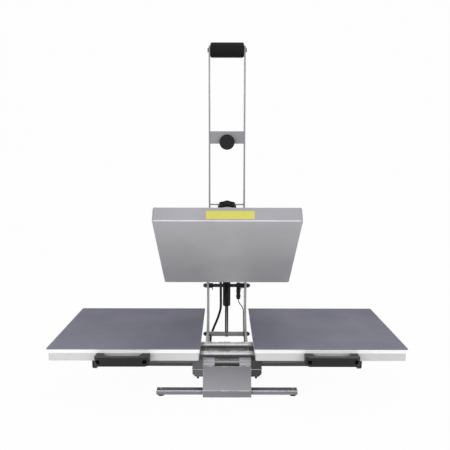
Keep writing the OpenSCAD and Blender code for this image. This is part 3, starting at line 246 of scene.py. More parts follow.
# Powder coat and moulded plastic share one group: a fine grain, slow clouds
# where hands and dust dull it, and edges rubbed towards a lighter colour.
coat_group, coat_in, coat_out = finish_group(
    "Coated_Surface",
    {
        "Coat": (0.5, 0.5, 0.5, 1),
        "Dull Coat": (0.4, 0.4, 0.4, 1),
        "Rubbed": (0.7, 0.7, 0.7, 1),
        "Grain Scale": 700.0,
        "Wear": 0.4,
        "Smooth": 0.35,
        "Rough": 0.5,
    },
)
coat_grain = noise_into(coat_group, coat_in["Grain Scale"], detail=2.0)
coat_cloud = noise_into(coat_group, scale=7.0, detail=4.0)
coat_break = noise_into(coat_group, scale=90.0, detail=3.0)
coat_edge = coat_group.nodes.new("ShaderNodeAttribute")
coat_edge.attribute_name = "edge_wear_and_highlight"
coat_rubbed = math_into(
    coat_group, "MULTIPLY", coat_edge.outputs["Fac"], span_into(coat_group, coat_break, 0.42, 0.62)
)
coat_wear = math_into(coat_group, "MULTIPLY", coat_rubbed, coat_in["Wear"])
coat_dust = span_into(coat_group, coat_cloud, 0.35, 0.7)
coat_tone = mix_into(coat_group, coat_dust, coat_in["Coat"], coat_in["Dull Coat"])
coat_worn = mix_into(coat_group, coat_wear, coat_tone, coat_in["Rubbed"])
coat_gloss = span_into(coat_group, coat_cloud, 0.3, 0.7, coat_in["Smooth"], coat_in["Rough"])
feed(coat_group, coat_worn, coat_out["Color"])
feed(coat_group, coat_gloss, coat_out["Roughness"])
feed(coat_group, coat_grain, coat_out["Height"])


def grey(value):
    """A neutral colour of that value, a little cool."""
    return (value * 0.995, value * 0.995, value * 1.01, 1)


def cool(value):
    """A grey with the faint blue of silver paint."""
    return (value * 0.985, value * 0.975, value * 1.06, 1)


def shade(colour, share):
    """The same colour, lighter or darker."""
    return tuple(min(1.0, part * share) for part in colour[:3]) + (1,)


def finish_of(name, group, values, depth, metal, shine=0.5):
    """A material with a finish group on its Principled shader."""
    material = bpy.data.materials.new(name)
    material.use_nodes = True
    tree = material.node_tree
    shader = tree.nodes["Principled BSDF"]
    feed(tree, metal, shader.inputs["Metallic"])
    feed(tree, shine, shader.inputs["Specular IOR Level"])
    effect = tree.nodes.new("ShaderNodeGroup")
    effect.node_tree = group
    for label, value in values.items():
        feed(tree, value, effect.inputs[label])
    bump = tree.nodes.new("ShaderNodeBump")
    feed(tree, depth, bump.inputs["Strength"])
    feed(tree, 0.0002, bump.inputs["Distance"])
    feed(tree, effect.outputs["Color"], shader.inputs["Base Color"])
    feed(tree, effect.outputs["Roughness"], shader.inputs["Roughness"])
    feed(tree, effect.outputs["Height"], bump.inputs["Height"])
    feed(tree, bump.outputs["Normal"], shader.inputs["Normal"])
    return material


def coated(
    name, colour, rubbed, rough, wear=0.4, grain=700.0, depth=0.15, metal=0.0, shine=0.5
):
    """A powder coated, painted or moulded surface, with its least and most roughness."""
    values = {
        "Coat": colour,
        "Dull Coat": shade(colour, 0.9),
        "Rubbed": rubbed,
        "Grain Scale": grain,
        "Wear": wear,
        "Smooth": rough[0],
        "Rough": rough[1],
    }
    return finish_of(name, coat_group, values, depth, metal, shine)


def fade(material, axis, low, high, tones):
    """Lets colours of a finish go over to others along an axis of the press, to paint light and shade."""
    tree = material.node_tree
    effect = next(node for node in tree.nodes if node.type == "GROUP")
    place = tree.nodes.new("ShaderNodeSeparateXYZ")
    feed(tree, tree.nodes.new("ShaderNodeTexCoord").outputs["Object"], place.inputs[0])
    share = span_into(tree, place.outputs[axis], low, high)
    for label, (at_low, at_high) in tones.items():
        feed(tree, mix_into(tree, share, at_low, at_high), effect.inputs[label])


def faded_coat(at_low, at_high):
    """The tones of a coat and of its dull patches, for a fade."""
    dull = 0.93
    return {
        "Coat": (at_low, at_high),
        "Dull Coat": (shade(at_low, dull), shade(at_high, dull)),
    }


def solid_of(node):
    """A clean copy of a CAD node's mesh, with its doubles merged and its flats whole."""
    copy = bmesh.new()
    copy.faces.layers.float.new("edge_wear_and_highlight")
    copy.from_mesh(frame["nodes"][node].data)
    bmesh.ops.remove_doubles(copy, verts=copy.verts, dist=2e-6)
    bmesh.ops.dissolve_limit(
        copy, angle_limit=math.radians(0.4), verts=copy.verts, edges=copy.edges
    )
    return copy


def folded_area(shape):
    """The area of a shape's faces that lies folded over, in square metres."""
    shape.normal_update()
    area = 0.0
    for first, second, third in shape.calc_loop_triangles():
        side = second.vert.co - first.vert.co
        turn = side.cross(third.vert.co - first.vert.co) / 2
        if turn.dot(first.face.normal) < 0:
            area += turn.length
    return area


def reach(shape):
    """How far a shape goes, both ways along each axis."""
    return [max(way * vert.co[k] for vert in shape.verts) for way in (-1, 1) for k in range(3)]


def round_off(shape, edges, width, steps, **how):
    """Bevels those edges of a shape to a round."""
    return bmesh.ops.bevel(
        shape, geom=edges, offset=width, segments=steps, profile=0.5, affect="EDGES", **how
    )


def rounded(shape, width, steps, limit, shortest, clamp):
    """A copy of a shape with its sharp edges rounded and the new faces marked for edge wear and painted
    highlights.
    """
    trial = shape.copy()
    sharp = [
        edge
        for edge in trial.edges
        if len(edge.link_faces) == 2
        and edge.calc_face_angle(0) > math.radians(limit)
        and edge.calc_length() > shortest
    ]
    made = round_off(trial, sharp, width, steps, offset_type="OFFSET", clamp_overlap=clamp)
    edge_wear_and_highlight = trial.faces.layers.float["edge_wear_and_highlight"]
    for face in made["faces"]:
        face[edge_wear_and_highlight] = 1.0
    return trial


FOLDED_AT_MOST = 3e-7
GROWN_AT_MOST = 1e-6


def soften(copy, width, steps=2, limit=28):
    """Rounds the sharp edges of a copy, and marks the new faces for edge wear and painted highlights.

    A small feature can be too tight for the full width, so the round is made
    narrower until next to nothing folds over or reaches out of the old shape.
    """
    careful = rounded(copy, width, steps, limit, 0, True)
    bounds = reach(copy)
    for share in (1.0, 0.8, 0.6, 0.4, 0.25, 0.15):
        for shortest in (0, width * share):
            trial = rounded(copy, width * share, steps, limit, shortest, False)
            grown = max(new - old for new, old in zip(reach(trial), bounds))
            if folded_area(trial) < FOLDED_AT_MOST and grown < GROWN_AT_MOST:
                careful.free()
                copy.free()
                return trial
            trial.free()
    copy.free()
    return careful


def paint_highlight(shape, wanted, number=1):
    """Gives those rounded faces the piece's next material, a near-white painted highlight along the edge."""
    edge_wear_and_highlight = shape.faces.layers.float["edge_wear_and_highlight"]
    for face in shape.faces:
        if face[edge_wear_and_highlight] > 0.5 and wanted(face.calc_center_median(), face.normal):
            face.material_index = number


def piece_from(shape, name, materials, body, slot, *nodes, smooth_below=42):
    """Turns a bmesh into a finished piece that rides on a body and stands for its nodes."""
    mesh = bpy.data.meshes.new(name)
    shape.to_mesh(mesh)
    shape.free()
    for material in materials:
        mesh.materials.append(material)
    for face in mesh.polygons:
        face.use_smooth = True
    mesh.set_sharp_from_angle(angle=math.radians(smooth_below))
    made = placed(name, mesh)
    even = made.modifiers.new("Even_Normals", "WEIGHTED_NORMAL")
    even.keep_sharp = True
    if body:
        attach(made, body)
    if nodes:
        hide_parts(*nodes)
    return made


def stand_for(node, shape, *materials, name=None):
    """A finished piece in the place of one CAD node, on its body."""
    title = name or node.title() + "_Piece"
    return piece_from(shape, title, materials, rides_on[node], slot_of[node], node)


foot_bar_coat = coated(
    "Foot_Bar_Powder_Coat", cool(0.2), cool(0.45), rough=(0.4, 0.5), wear=0.7, metal=0.2
)
# The top face is painted darker than the sides, as painted shade.
FOOT_BAR_TOP_SHADE = 0.002
bars_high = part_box("foot_bars")[1]
fade(
    foot_bar_coat, "Z", bars_high.z - FOOT_BAR_TOP_SHADE, bars_high.z,
    faded_coat(cool(0.23), cool(0.17)),
)
# A near-white painted highlight, on the front top edge of the foot bars and on the ridge of the bearing
# blocks.
edge_highlight = coated(
    "Painted_Edge_Highlight", cool(0.9), cool(0.9), rough=(0.3, 0.4), wear=0.0
)
bar_shape = soften(solid_of("foot_bars"), 0.0015)
# The rounded front top edge gets the painted highlight.
paint_highlight(bar_shape, lambda place, way: way.y < -0.2 and way.z > 0.2)
stand_for("foot_bars", bar_shape, foot_bar_coat, edge_highlight)

# ------------ Rubber feet
# Four turned rubber feet with a moulded groove, screwed up into the foot bars.
# They stand on the table and carry the whole press.


def turned(shape, profile, sides, place=None):
    """Adds a turned form from rows of radius and height. A row with "hex" is six-sided."""
    place = place or Matrix()
    rings = []
    for radius, height, *six in profile:
        if radius == 0:
            rings.append([shape.verts.new(place @ Vector((0, 0, height)))])
            continue
        ring = []
        for k in range(sides):
            angle = 2 * math.pi * k / sides
            out = radius / math.cos(angle % (math.pi / 3) - math.pi / 6) if six else radius
            point = Vector((out * math.cos(angle), out * math.sin(angle), height))
            ring.append(shape.verts.new(place @ point))
        rings.append(ring)
    faces = []
    for low, high in zip(rings, rings[1:]):
        for k in range(sides):
            j = (k + 1) % sides
            if len(low) == 1:
                faces.append(shape.faces.new((low[0], high[k], high[j])))
            elif len(high) == 1:
                faces.append(shape.faces.new((low[k], low[j], high[0])))
            else:
                faces.append(shape.faces.new((low[k], low[j], high[j], high[k])))
    bmesh.ops.recalc_face_normals(shape, faces=faces)


soft_black_rubber = coated(
    "Soft_Black_Rubber", grey(0.012), grey(0.04), rough=(0.6, 0.8),
    wear=0.3, grain=500.0, depth=0.3, shine=0.3,
)
FOOT_RADIUS = 0.010
FOOT_HEIGHT = 0.005
FOOT_PROFILE = [
    (0, 0.0009), (0.0048, 0.0009), (0.0056, 0), (0.0088, 0), (0.0095, 0.0006), (0.0097, 0.0020),
    (0.0092, 0.0024), (0.0092, 0.0028), (0.0099, 0.0032), (0.0100, 0.0045),
    (0.0096, FOOT_HEIGHT), (0, FOOT_HEIGHT),
]
foot_low, foot_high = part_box("rubber_feet")
foot_shape = bmesh.new()
foot_places = [
    (x, y)
    for x in (foot_low.x + FOOT_RADIUS, foot_high.x - FOOT_RADIUS)
    for y in (foot_low.y + FOOT_RADIUS, foot_high.y - FOOT_RADIUS)
]
for x, y in foot_places:
    turned(foot_shape, FOOT_PROFILE, 32, Matrix.Translation((x, y, 0)))
stand_for("rubber_feet", foot_shape, soft_black_rubber)

# ------------ Base screws
# Zinc plated screws with a hexagon socket, one over each foot and four that tie
# the side plates to the bearing blocks. Oiled bolts end below the blocks.

# Bare metal shares one group: lines left by the tool, drawn out one way.
metal_group, metal_in, metal_out = finish_group(
    "Tooled_Metal",
    {
        "Metal": (0.6, 0.6, 0.62, 1),
        "Dark Line": (0.45, 0.45, 0.47, 1),
        "Draw": (20.0, 900.0, 900.0),
        "Smooth": 0.2,
        "Rough": 0.38,
    },
)
metal_stretch = metal_group.nodes.new("ShaderNodeVectorMath")
metal_stretch.operation = "MULTIPLY"
metal_place = metal_group.nodes.new("ShaderNodeTexCoord").outputs["Object"]
feed(metal_group, metal_place, metal_stretch.inputs[0])
feed(metal_group, metal_in["Draw"], metal_stretch.inputs[1])
metal_lines = noise_into(metal_group, scale=1.0, detail=3.0, vector=metal_stretch.outputs[0])
metal_cloud = noise_into(metal_group, scale=9.0, detail=4.0)
metal_share = span_into(metal_group, metal_lines, 0.35, 0.75)
metal_tone = mix_into(metal_group, metal_share, metal_in["Metal"], metal_in["Dark Line"])
metal_gloss = span_into(
    metal_group, metal_cloud, 0.3, 0.72, metal_in["Smooth"], metal_in["Rough"]
)
feed(metal_group, metal_tone, metal_out["Color"])
feed(metal_group, metal_gloss, metal_out["Roughness"])
feed(metal_group, metal_lines, metal_out["Height"])

# How finely the tool's marks repeat along X, Y and Z
LINES_ALONG_X = (20.0, 900.0, 900.0)
EVEN_GRAIN = (300.0, 300.0, 300.0)


def bare_metal(name, colour, rough, draw=LINES_ALONG_X, depth=0.08, dark=0.85, metal=1.0):
    """A metal surface with the marks of its tool along one way."""
    values = {
        "Metal": colour,
        "Dark Line": shade(colour, dark),
        "Draw": draw,
        "Smooth": rough[0],
        "Rough": rough[1],
    }
    return finish_of(name, metal_group, values, depth, metal)


def pattern_of(name, profile, sides):
    """A mesh turned from a profile, to be put on many places."""
    shape = bmesh.new()
    turned(shape, profile, sides)
    mesh = bpy.data.meshes.new(name)
    shape.to_mesh(mesh)
    shape.free()
    return mesh


def repeat_on_points(name):
    """A tree that puts one shape on every point, sized by "size" and faced along "aim"."""
    tree = bpy.data.node_groups.new(name, "GeometryNodeTree")
    inputs = {}
    for label, kind in (
        ("Geometry", "Geometry"),
        ("Shape", "Object"),
        ("Size Factor", "Float"),
        ("Finish", "Material"),
    ):
        inputs[label] = socket_on(tree, label, "INPUT", kind).identifier
    socket_on(tree, "Geometry", "OUTPUT", "Geometry")
    start = tree.nodes.new("NodeGroupInput").outputs
    shape = tree.nodes.new("GeometryNodeObjectInfo")
    size = tree.nodes.new("GeometryNodeInputNamedAttribute")
    size.data_type = "FLOAT"
    size.inputs["Name"].default_value = "size"
    aim = tree.nodes.new("GeometryNodeInputNamedAttribute")
    aim.data_type = "FLOAT_VECTOR"
    aim.inputs["Name"].default_value = "aim"
    face = tree.nodes.new("FunctionNodeAlignRotationToVector")
    face.axis = "Z"
    put = tree.nodes.new("GeometryNodeInstanceOnPoints")
    real = tree.nodes.new("GeometryNodeRealizeInstances")
    coat = tree.nodes.new("GeometryNodeSetMaterial")
    scale = math_into(tree, "MULTIPLY", size.outputs["Attribute"], start["Size Factor"])
    feed(tree, start["Shape"], shape.inputs["Object"])
    feed(tree, aim.outputs["Attribute"], face.inputs["Vector"])
    feed(tree, start["Geometry"], put.inputs["Points"])
    feed(tree, shape.outputs["Geometry"], put.inputs["Instance"])
    feed(tree, face.outputs["Rotation"], put.inputs["Rotation"])
    feed(tree, scale, put.inputs["Scale"])
    feed(tree, put.outputs[0], real.inputs[0])
    feed(tree, real.outputs[0], coat.inputs["Geometry"])
    feed(tree, start["Finish"], coat.inputs["Material"])
    feed(tree, coat.outputs[0], tree.nodes.new("NodeGroupOutput").inputs[0])
    return tree, inputs


fastener_tree, fastener_inputs = repeat_on_points("Fasteners_On_Points")


def fasteners(name, mesh, rows, material, body, *nodes):
    """One piece of like fasteners. Each row is a place, the way it faces and its head radius."""
    points = bpy.data.meshes.new(name)
    points.from_pydata([row[0] for row in rows], [], [])
    points.attributes.new("aim", "FLOAT_VECTOR", "POINT")
    points.attributes.new("size", "FLOAT", "POINT")
    for k, row in enumerate(rows):
        points.attributes["aim"].data[k].vector = row[1]
        points.attributes["size"].data[k].value = row[2]
    made = placed(name, points)
    pattern = placed(name + "_Pattern", mesh)
    repeat = made.modifiers.new("Repeat", "NODES")
    repeat.node_group = fastener_tree
    repeat[fastener_inputs["Shape"]] = pattern
    repeat[fastener_inputs["Size Factor"]] = 1.0
    repeat[fastener_inputs["Finish"]] = material
    sight = bpy.context.evaluated_depsgraph_get()
    result = bpy.data.meshes.new_from_object(made.evaluated_get(sight))
    made.modifiers.clear()
    made.data = result
    bpy.data.objects.remove(pattern)
    for face in result.polygons:
        face.use_smooth = True
    result.set_sharp_from_angle(angle=math.radians(35))
    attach(made, body)
    if nodes:
        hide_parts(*nodes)


# A socket screw of head radius one, its seat at zero and its shank below
zinc_plate = bare_metal(
    "Zinc_Plate", (0.66, 0.66, 0.68, 1), rough=(0.25, 0.4), draw=EVEN_GRAIN
)
socket_mesh = pattern_of(
    "Socket_Screw",
    [
        (0, -2.2), (0.55, -2.2), (0.6, -2.1), (0.6, 0), (0.94, 0), (1.0, 0.06), (1.0, 0.5),
        (0.9, 0.62), (0.52, 0.64), (0.45, 0.62, "hex"), (0.45, 0.22, "hex"), (0, 0.16),
    ],
    24,
)
FRAME_BEHIND_PADS = 0.05375
RAIL_YS = [y / 1000 - FRAME_BEHIND_PADS for y in (-114, -46, 36)]
BEAM_YS = [(RAIL_YS[0] + RAIL_YS[1]) / 2, (RAIL_YS[1] + RAIL_YS[2]) / 2]
FOOT_SCREW = {"z": 0.017, "head": 0.0036}
SIDE_SCREW = {"x": 0.060, "z": 0.067, "head": 0.005}
fasteners(
    "Base_Screw_Set",
    socket_mesh,
    [((x, y, FOOT_SCREW["z"]), (0, 0, 1), FOOT_SCREW["head"]) for x, y in foot_places]
    + [
        ((side * SIDE_SCREW["x"], y, SIDE_SCREW["z"]), (-side, 0, 0), SIDE_SCREW["head"])
        for side in (-1, 1)
        for y in BEAM_YS
    ],
    zinc_plate,
    "base",
    "base_screws",
)

# The bolts under the blocks end in a flanged nut, oiled black, and stick out of it
oiled_black = coated(
    "Oiled_Black_Steel", grey(0.02), grey(0.1), rough=(0.35, 0.5),
    wear=0.0, grain=500.0, depth=0.05, shine=0.4,
)
bolt_mesh = pattern_of(
    "Block_Bolt",
    [
        (0, -1.6), (0.55, -1.6), (0.6, -1.5), (0.6, 0), (1.2, 0), (1.2, 0.16),
        (1.08, 0.2, "hex"), (1.08, 1.0, "hex"), (0.9, 1.12), (0.62, 1.12), (0.62, 2.06),
        (0.48, 2.2), (0, 2.2),
    ],
    24,
)
BLOCK_BOLT_HEAD = 0.005
block_low, block_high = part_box("right_bearing_block")
block_bolt_x = (block_low.x + block_high.x) / 2
fasteners(
    "Block_Bolt_Set",
    bolt_mesh,
    [
        ((side * block_bolt_x, y, block_low.z), (0, 0, -1), BLOCK_BOLT_HEAD)
        for side in (-1, 1)
        for y in RAIL_YS
    ],
    oiled_black,
    "base",
)

# ------------ Side plates
# Two plates of 6 mm steel, laser cut to one outline and powder coated silver
# grey. They carry the hinge, the lever pivot and both tie shafts.


def dress(node, width, *materials, steps=2):
    """One CAD node with softened edges and its finish."""
    return stand_for(node, soften(solid_of(node), width, steps), *materials)


silver_coat = coated(
    "Silver_Grey_Powder_Coat", grey(0.47), grey(0.62), rough=(0.36, 0.5), wear=0.6, metal=0.25
)
dress("left_side_plate", 0.0006, silver_coat)
dress("right_side_plate", 0.0006, silver_coat)

# ------------ Front panel
# One strip of 2 mm steel, folded twice: a flange on the side plates, a
# sloping face and an upright lip in front of the foot bar.

panel_coat = coated(
    "Panel_Powder_Coat", grey(0.28), grey(0.66), rough=(0.3, 0.42), wear=1.1, metal=0.3
)
PANEL_SLOPE_LOW = 0.020
PANEL_FLANGE = 0.006
panel_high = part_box("front_panel")[1]
# The sloping face is painted lighter towards its foot and darker towards the flange, as painted light and
# shade.
fade(
    panel_coat, "Z", PANEL_SLOPE_LOW, panel_high.z - PANEL_FLANGE,
    faded_coat(cool(0.295), cool(0.19)),
)
# A near-white painted highlight along the lower bend.
bend_highlight = coated(
    "Panel_Painted_Bend_Highlight", cool(0.9), cool(0.9), rough=(0.28, 0.36), wear=0.0
)
# A darker copy of the panel coat, painted shade on the upright lip.
shaded_lip_coat = coated(
    "Panel_Lip_Painted_Shade", cool(0.225), grey(0.66), rough=(0.3, 0.42), wear=1.1, metal=0.3
)
PANEL_LIP_BELOW = 0.025
panel_shape = soften(solid_of("front_panel"), 0.0015, 3, limit=12)
# The rounded lower bend gets the painted highlight.
paint_highlight(
    panel_shape,
    lambda place, way: way.y < -0.9 and way.z > 0.01 and place.z < PANEL_LIP_BELOW,
)
# The upright lip gets the painted shade.
for face in panel_shape.faces:
    if face.normal.y < -0.97 and face.calc_center_median().z < PANEL_LIP_BELOW:
        face.material_index = 2
stand_for("front_panel", panel_shape, panel_coat, bend_highlight, shaded_lip_coat)

# ------------ Bearing blocks
# Two cast blocks, machined on their faces; the right one is coloured much darker than the left.
# A plain bronze bush around each rail lets the carriage slide.

cast_grey = coated(
    "Cast_Block_Grey", cool(0.108), cool(0.3), rough=(0.4, 0.6), wear=0.5, grain=420.0, depth=0.35
)
cast_dark = coated(
    "Cast_Block_Dark", cool(0.028), cool(0.14), rough=(0.4, 0.6), wear=0.5, grain=420.0, depth=0.35
)
bush_bronze = bare_metal("Bush_Bronze", (0.62, 0.46, 0.24, 1), rough=(0.25, 0.4))
BLOCK_RIDGE = 0.0740
RIDGE_HALF = 0.0007
RIDGE_PROUD = 0.0007


def put_in_order(shape):
    """Sorts vertices and faces by place, because some cuts leave them in no fixed order."""
    for parts, place_of in (
        (shape.verts, lambda vert: tuple(vert.co)),
        (shape.faces, lambda face: tuple(face.calc_center_median())),
    ):
        rank = {part: k for k, part in enumerate(sorted(parts, key=place_of))}
        parts.sort(key=rank.get)


def cut_seam(shape, place, half, depth, wanted=None, number=0):
    """Sinks a narrow groove round a shape at that height, or raises a ridge.

    The groove's floor or the ridge's top gets the piece's material of that number.
    """
    up = Vector((0, 0, 1))
    for side in (-1, 1):
        bmesh.ops.bisect_plane(
            shape,
            geom=shape.verts[:] + shape.edges[:] + shape.faces[:],
            dist=1e-7,
            plane_co=up * (place + side * half),
            plane_no=up,
        )
    band = [
        face
        for face in shape.faces
        if abs(face.normal.z) < 0.5
        and all(abs(vert.co.z - place) < half + 1e-6 for vert in face.verts)
        and (wanted is None or wanted(face.calc_center_median(), face.normal))
    ]
    bmesh.ops.inset_region(
        shape, faces=band, thickness=0.00005, depth=-depth, use_even_offset=True
    )
    for face in band:
        face.material_index = number
    put_in_order(shape)


def outer(place, way):
    """Whether a face of a block looks to the front or away from the middle."""
    return way.y < -0.5 or abs(place.x + way.x) > 0.9


for node, cast in (("left_bearing_block", cast_grey), ("right_bearing_block", cast_dark)):
    block_shape = soften(solid_of(node), 0.0009)
    # A raised ridge on the outer faces, with a near-white painted highlight on its top.
    cut_seam(block_shape, BLOCK_RIDGE, RIDGE_HALF, -RIDGE_PROUD, outer, 1)
    stand_for(node, block_shape, cast, edge_highlight)
dress("linear_bushes", 0.0002, bush_bronze)

# ------------ Rail guards
# Two pale blocks on the panel's flange, bored for the front rail. A parting
# line runs along each one where its two halves are clamped.

guard_coat = coated(
    "Rail_Guard_Paint", cool(0.43), cool(0.62), rough=(0.3, 0.45), wear=0.5, metal=0.25
)
GUARD_SEAM = 0.0922
SEAM_HALF = 0.0008
SEAM_DEPTH = 0.0014
guard_shape = soften(solid_of("rail_brackets"), 0.0008)
cut_seam(guard_shape, GUARD_SEAM, SEAM_HALF, SEAM_DEPTH)
stand_for("rail_brackets", guard_shape, guard_coat, name="Rail_Guards_Piece")

# ------------ Shafts
# Turned steel shafts tie the side plates, with dark domed nuts on their ends.
# Sleeves keep the yoke and the gas spring's eye in the middle.

blackened_steel = coated(
    "Blackened_Steel", grey(0.03), grey(0.16), rough=(0.3, 0.45), wear=0.5, metal=0.3, depth=0.05
)
shaft_steel = bare_metal(
    "Turned_Shaft_Steel", (0.5, 0.5, 0.52, 1), rough=(0.2, 0.35), draw=(900.0, 30.0, 30.0)
)
sleeve_coat = coated(
    "Sleeve_Grey_Paint", grey(0.42), grey(0.6), rough=(0.3, 0.36), wear=0.3, metal=0.4
)
ties = dress("tie_shafts", 0.0006, shaft_steel, blackened_steel)
UPPER_TIE_ABOVE = 0.15
for face in ties.data.polygons:
    if face.center.z > UPPER_TIE_ABOVE:
        face.material_index = 1
dress("shaft_nuts", 0.0003, blackened_steel)
dress("spacer_sleeves", 0.0004, sleeve_coat)
dress("main_hinge_pin", 0.0007, zinc_plate)
dress("lever_pivot_bolts", 0.0007, blackened_steel)

# ------------ Power box
# A folded steel box between the side plates holds the power board. The mains
# inlet and its rocker switch are one moulded unit, snapped into the rear wall.

box_coat = coated(
    "Power_Box_Paint", grey(0.13), grey(0.3), rough=(0.4, 0.55), wear=0.4, metal=0.2
)
moulded_black = coated(
    "Moulded_Black_Plastic", grey(0.009), grey(0.035), rough=(0.35, 0.5),
    wear=0.35, grain=900.0, depth=0.2, shine=0.3,
)
dress("power_box", 0.0006, box_coat)
dress("power_inlet", 0.0004, moulded_black)
dress("power_rocker", 0.0005, moulded_black)
dress("base_gland", 0.0004, moulded_black)

# ------------ Micro switch
# A small snap switch hung on the upper tie shaft by its strap. It feels the
# head come down and starts the timer.

dress("micro_switch", 0.0005, moulded_black)

# Two screws go through the switch and its strap, with a slotted head on each side
slotted_mesh = pattern_of(
    "Switch_Screw",
    [(0, -0.8), (0.5, -0.8), (0.5, 0), (0.95, 0), (1.0, 0.08), (1.0, 0.55), (0.9, 0.7), (0, 0.72)],
    20,
)
SWITCH_SCREW_HEAD = 0.0026
SWITCH_SCREWS = [(0.003, 0.1912), (-0.003, 0.1762)]
switch_low, switch_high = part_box("micro_switch")
switch_y = (switch_low.y + switch_high.y) / 2
fasteners(
    "Switch_Screw_Set",
    slotted_mesh,
    [
        ((side_x, switch_y + shift, height), (way, 0, 0), SWITCH_SCREW_HEAD)
        for side_x, way in ((switch_high.x, 1), (switch_low.x, -1))
        for shift, height in SWITCH_SCREWS
    ],
    zinc_plate,
    "base",
)

# A rubber lined clip closes round each end of the upper shaft, with a folded tab
CLIP_ROUND = 0.0088
CLIP_PROFILE = [
    (0.0060, 0.0470), (0.0080, 0.0470), (CLIP_ROUND, 0.0478), (CLIP_ROUND, 0.0505),
    (0.0083, 0.0510), (0.0083, 0.0560), (CLIP_ROUND, 0.0565), (CLIP_ROUND, 0.0590),
    (0.0080, 0.0597), (0.0060, 0.0597),
]
CLIP_TAB = {"out": 0.0490, "below": 0.0105, "size": (0.0026, 0.0090, 0.0080), "turn": 14}
UPPER_TIE_Z = 0.2118
tie_low, tie_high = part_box("tie_shafts")
upper_tie = Vector((0, (tie_low.y + tie_high.y) / 2, UPPER_TIE_Z))
clip_shape = bmesh.new()
clip_shape.faces.layers.float.new("edge_wear_and_highlight")
for side in (-1, 1):
    turned(
        clip_shape,
        CLIP_PROFILE,
        28,
        Matrix.Translation(upper_tie) @ Matrix.Rotation(math.radians(90 * side), 4, "Y"),
    )
    tab_middle = upper_tie + Vector((side * CLIP_TAB["out"], 0, -CLIP_TAB["below"]))
    tab = bmesh.ops.create_cube(
        clip_shape,
        size=1,
        matrix=Matrix.Translation(tab_middle)
        @ Matrix.Rotation(math.radians(side * CLIP_TAB["turn"]), 4, "Y")
        @ Matrix.Diagonal((*CLIP_TAB["size"], 1)),
    )
    tab_edges = [edge for edge in clip_shape.edges if edge.verts[0] in tab["verts"]]
    round_off(clip_shape, tab_edges, 0.0006, 2)
put_in_order(clip_shape)
piece_from(clip_shape, "Upper_Shaft_Clips", [moulded_black], "base", slot_of["base_gland"])

# ------------ Slide rails
# Three steel rails, hard chromed, ground smooth and chamfered at their ends.
# The front one is coloured near black as painted shade, with bands of painted
# highlight along its top. The others' upper halves are a painted reflection.

GROUND_RINGS = (900.0, 14.0, 14.0)
rail_chrome = bare_metal(
    "Hard_Chrome", (0.62, 0.61, 0.63, 1), rough=(0.06, 0.13),
    draw=GROUND_RINGS, depth=0.02, dark=0.94, metal=0.6,
)
# Near black for the front rail, painted shade.
rail_shaded_black = coated(
    "Rail_Painted_Shade", grey(0.05), grey(0.2), rough=(0.3, 0.42), wear=0.6, depth=0.04, shine=0.4
)
# A painted highlight for bands along the front rail.
rail_highlight = bare_metal(
    "Rail_Painted_Highlight",
    (0.33, 0.325, 0.33, 1), rough=(0.2, 0.3), draw=GROUND_RINGS, depth=0.02, dark=0.9,
)
RAIL_SHADE_BELOW = -0.001
RAIL_HIGHLIGHT_ABOVE = 0.0025
rail_low, rail_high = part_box("slide_rails")
rail_z = (rail_low.z + rail_high.z) / 2
# The chrome's upper half is painted near white and its lower half darker, as a painted reflection.
fade(
    rail_chrome, "Z", rail_z + RAIL_SHADE_BELOW, rail_z + RAIL_HIGHLIGHT_ABOVE,
    {"Metal": ((0.5, 0.48, 0.49, 1), (0.98, 0.98, 0.99, 1))},
)
rails = dress("slide_rails", 0.0008, rail_chrome, rail_shaded_black, rail_highlight)
HIGHLIGHT_SLOPE_LOW = 0.42
HIGHLIGHT_SLOPE_HIGH = 0.8
RAIL_CROWN = 0.93
# The front rail is coloured near black as painted shade, with bands of painted highlight on its upper faces.
for face in rails.data.polygons:
    if face.center.y < (RAIL_YS[0] + RAIL_YS[1]) / 2:
        highlighted = HIGHLIGHT_SLOPE_LOW < face.normal.z < HIGHLIGHT_SLOPE_HIGH or face.normal.z > RAIL_CROWN
        face.material_index = 2 if highlighted else 1

# ------------ Carriage frame
# Black end brackets clamp the rails and bolt under the trays, and channel
# beams run below each tray to keep it level.

bracket_black = coated(
    "Bracket_Black_Paint", grey(0.014), grey(0.07), rough=(0.4, 0.55), wear=0.5, shine=0.3
)
dress("end_brackets", 0.0008, bracket_black)
dress("support_beams", 0.0005, box_coat)

# ------------ Trays
# A shallow tray of folded silver grey sheet steel stiffens each station. Its
# upright corners are rounded.

tray_coat = coated(
    "Tray_Powder_Coat", grey(0.66), grey(0.82), rough=(0.3, 0.42), wear=0.4, metal=0.2
)
dress("left_tray", 0.0006, tray_coat)
dress("right_tray", 0.0006, tray_coat)

# ------------ Lower platens
# Aluminium plates with bright milled edges lie on the trays, under the pads.
# The cutter's marks run along them.

milled_aluminium = bare_metal(
    "Milled_Aluminium", (0.93, 0.935, 0.945, 1), rough=(0.5, 0.62),
    draw=(18.0, 1200.0, 1200.0), dark=0.93, metal=0.35,
)
dress("left_platen", 0.0005, milled_aluminium)
dress("right_platen", 0.0005, milled_aluminium)

# ------------ Pads
# Grey silicone foam mats, 3 mm thick, glued on the platens. Their skin has a
# fine even grain and their edges are cut square and slightly rounded.

PAD_GREY = (0.178, 0.177, 0.224, 1)
PAD_CORNER = 0.003
PAD_EDGE = 0.0009
pad_rubber = coated(
    "Silicone_Foam_Skin", PAD_GREY, (0.22, 0.218, 0.26, 1), rough=(0.6, 0.75),
    wear=0.5, grain=1300.0, depth=0.25, shine=0.25,
)
pad_low, pad_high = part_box("left_pad")
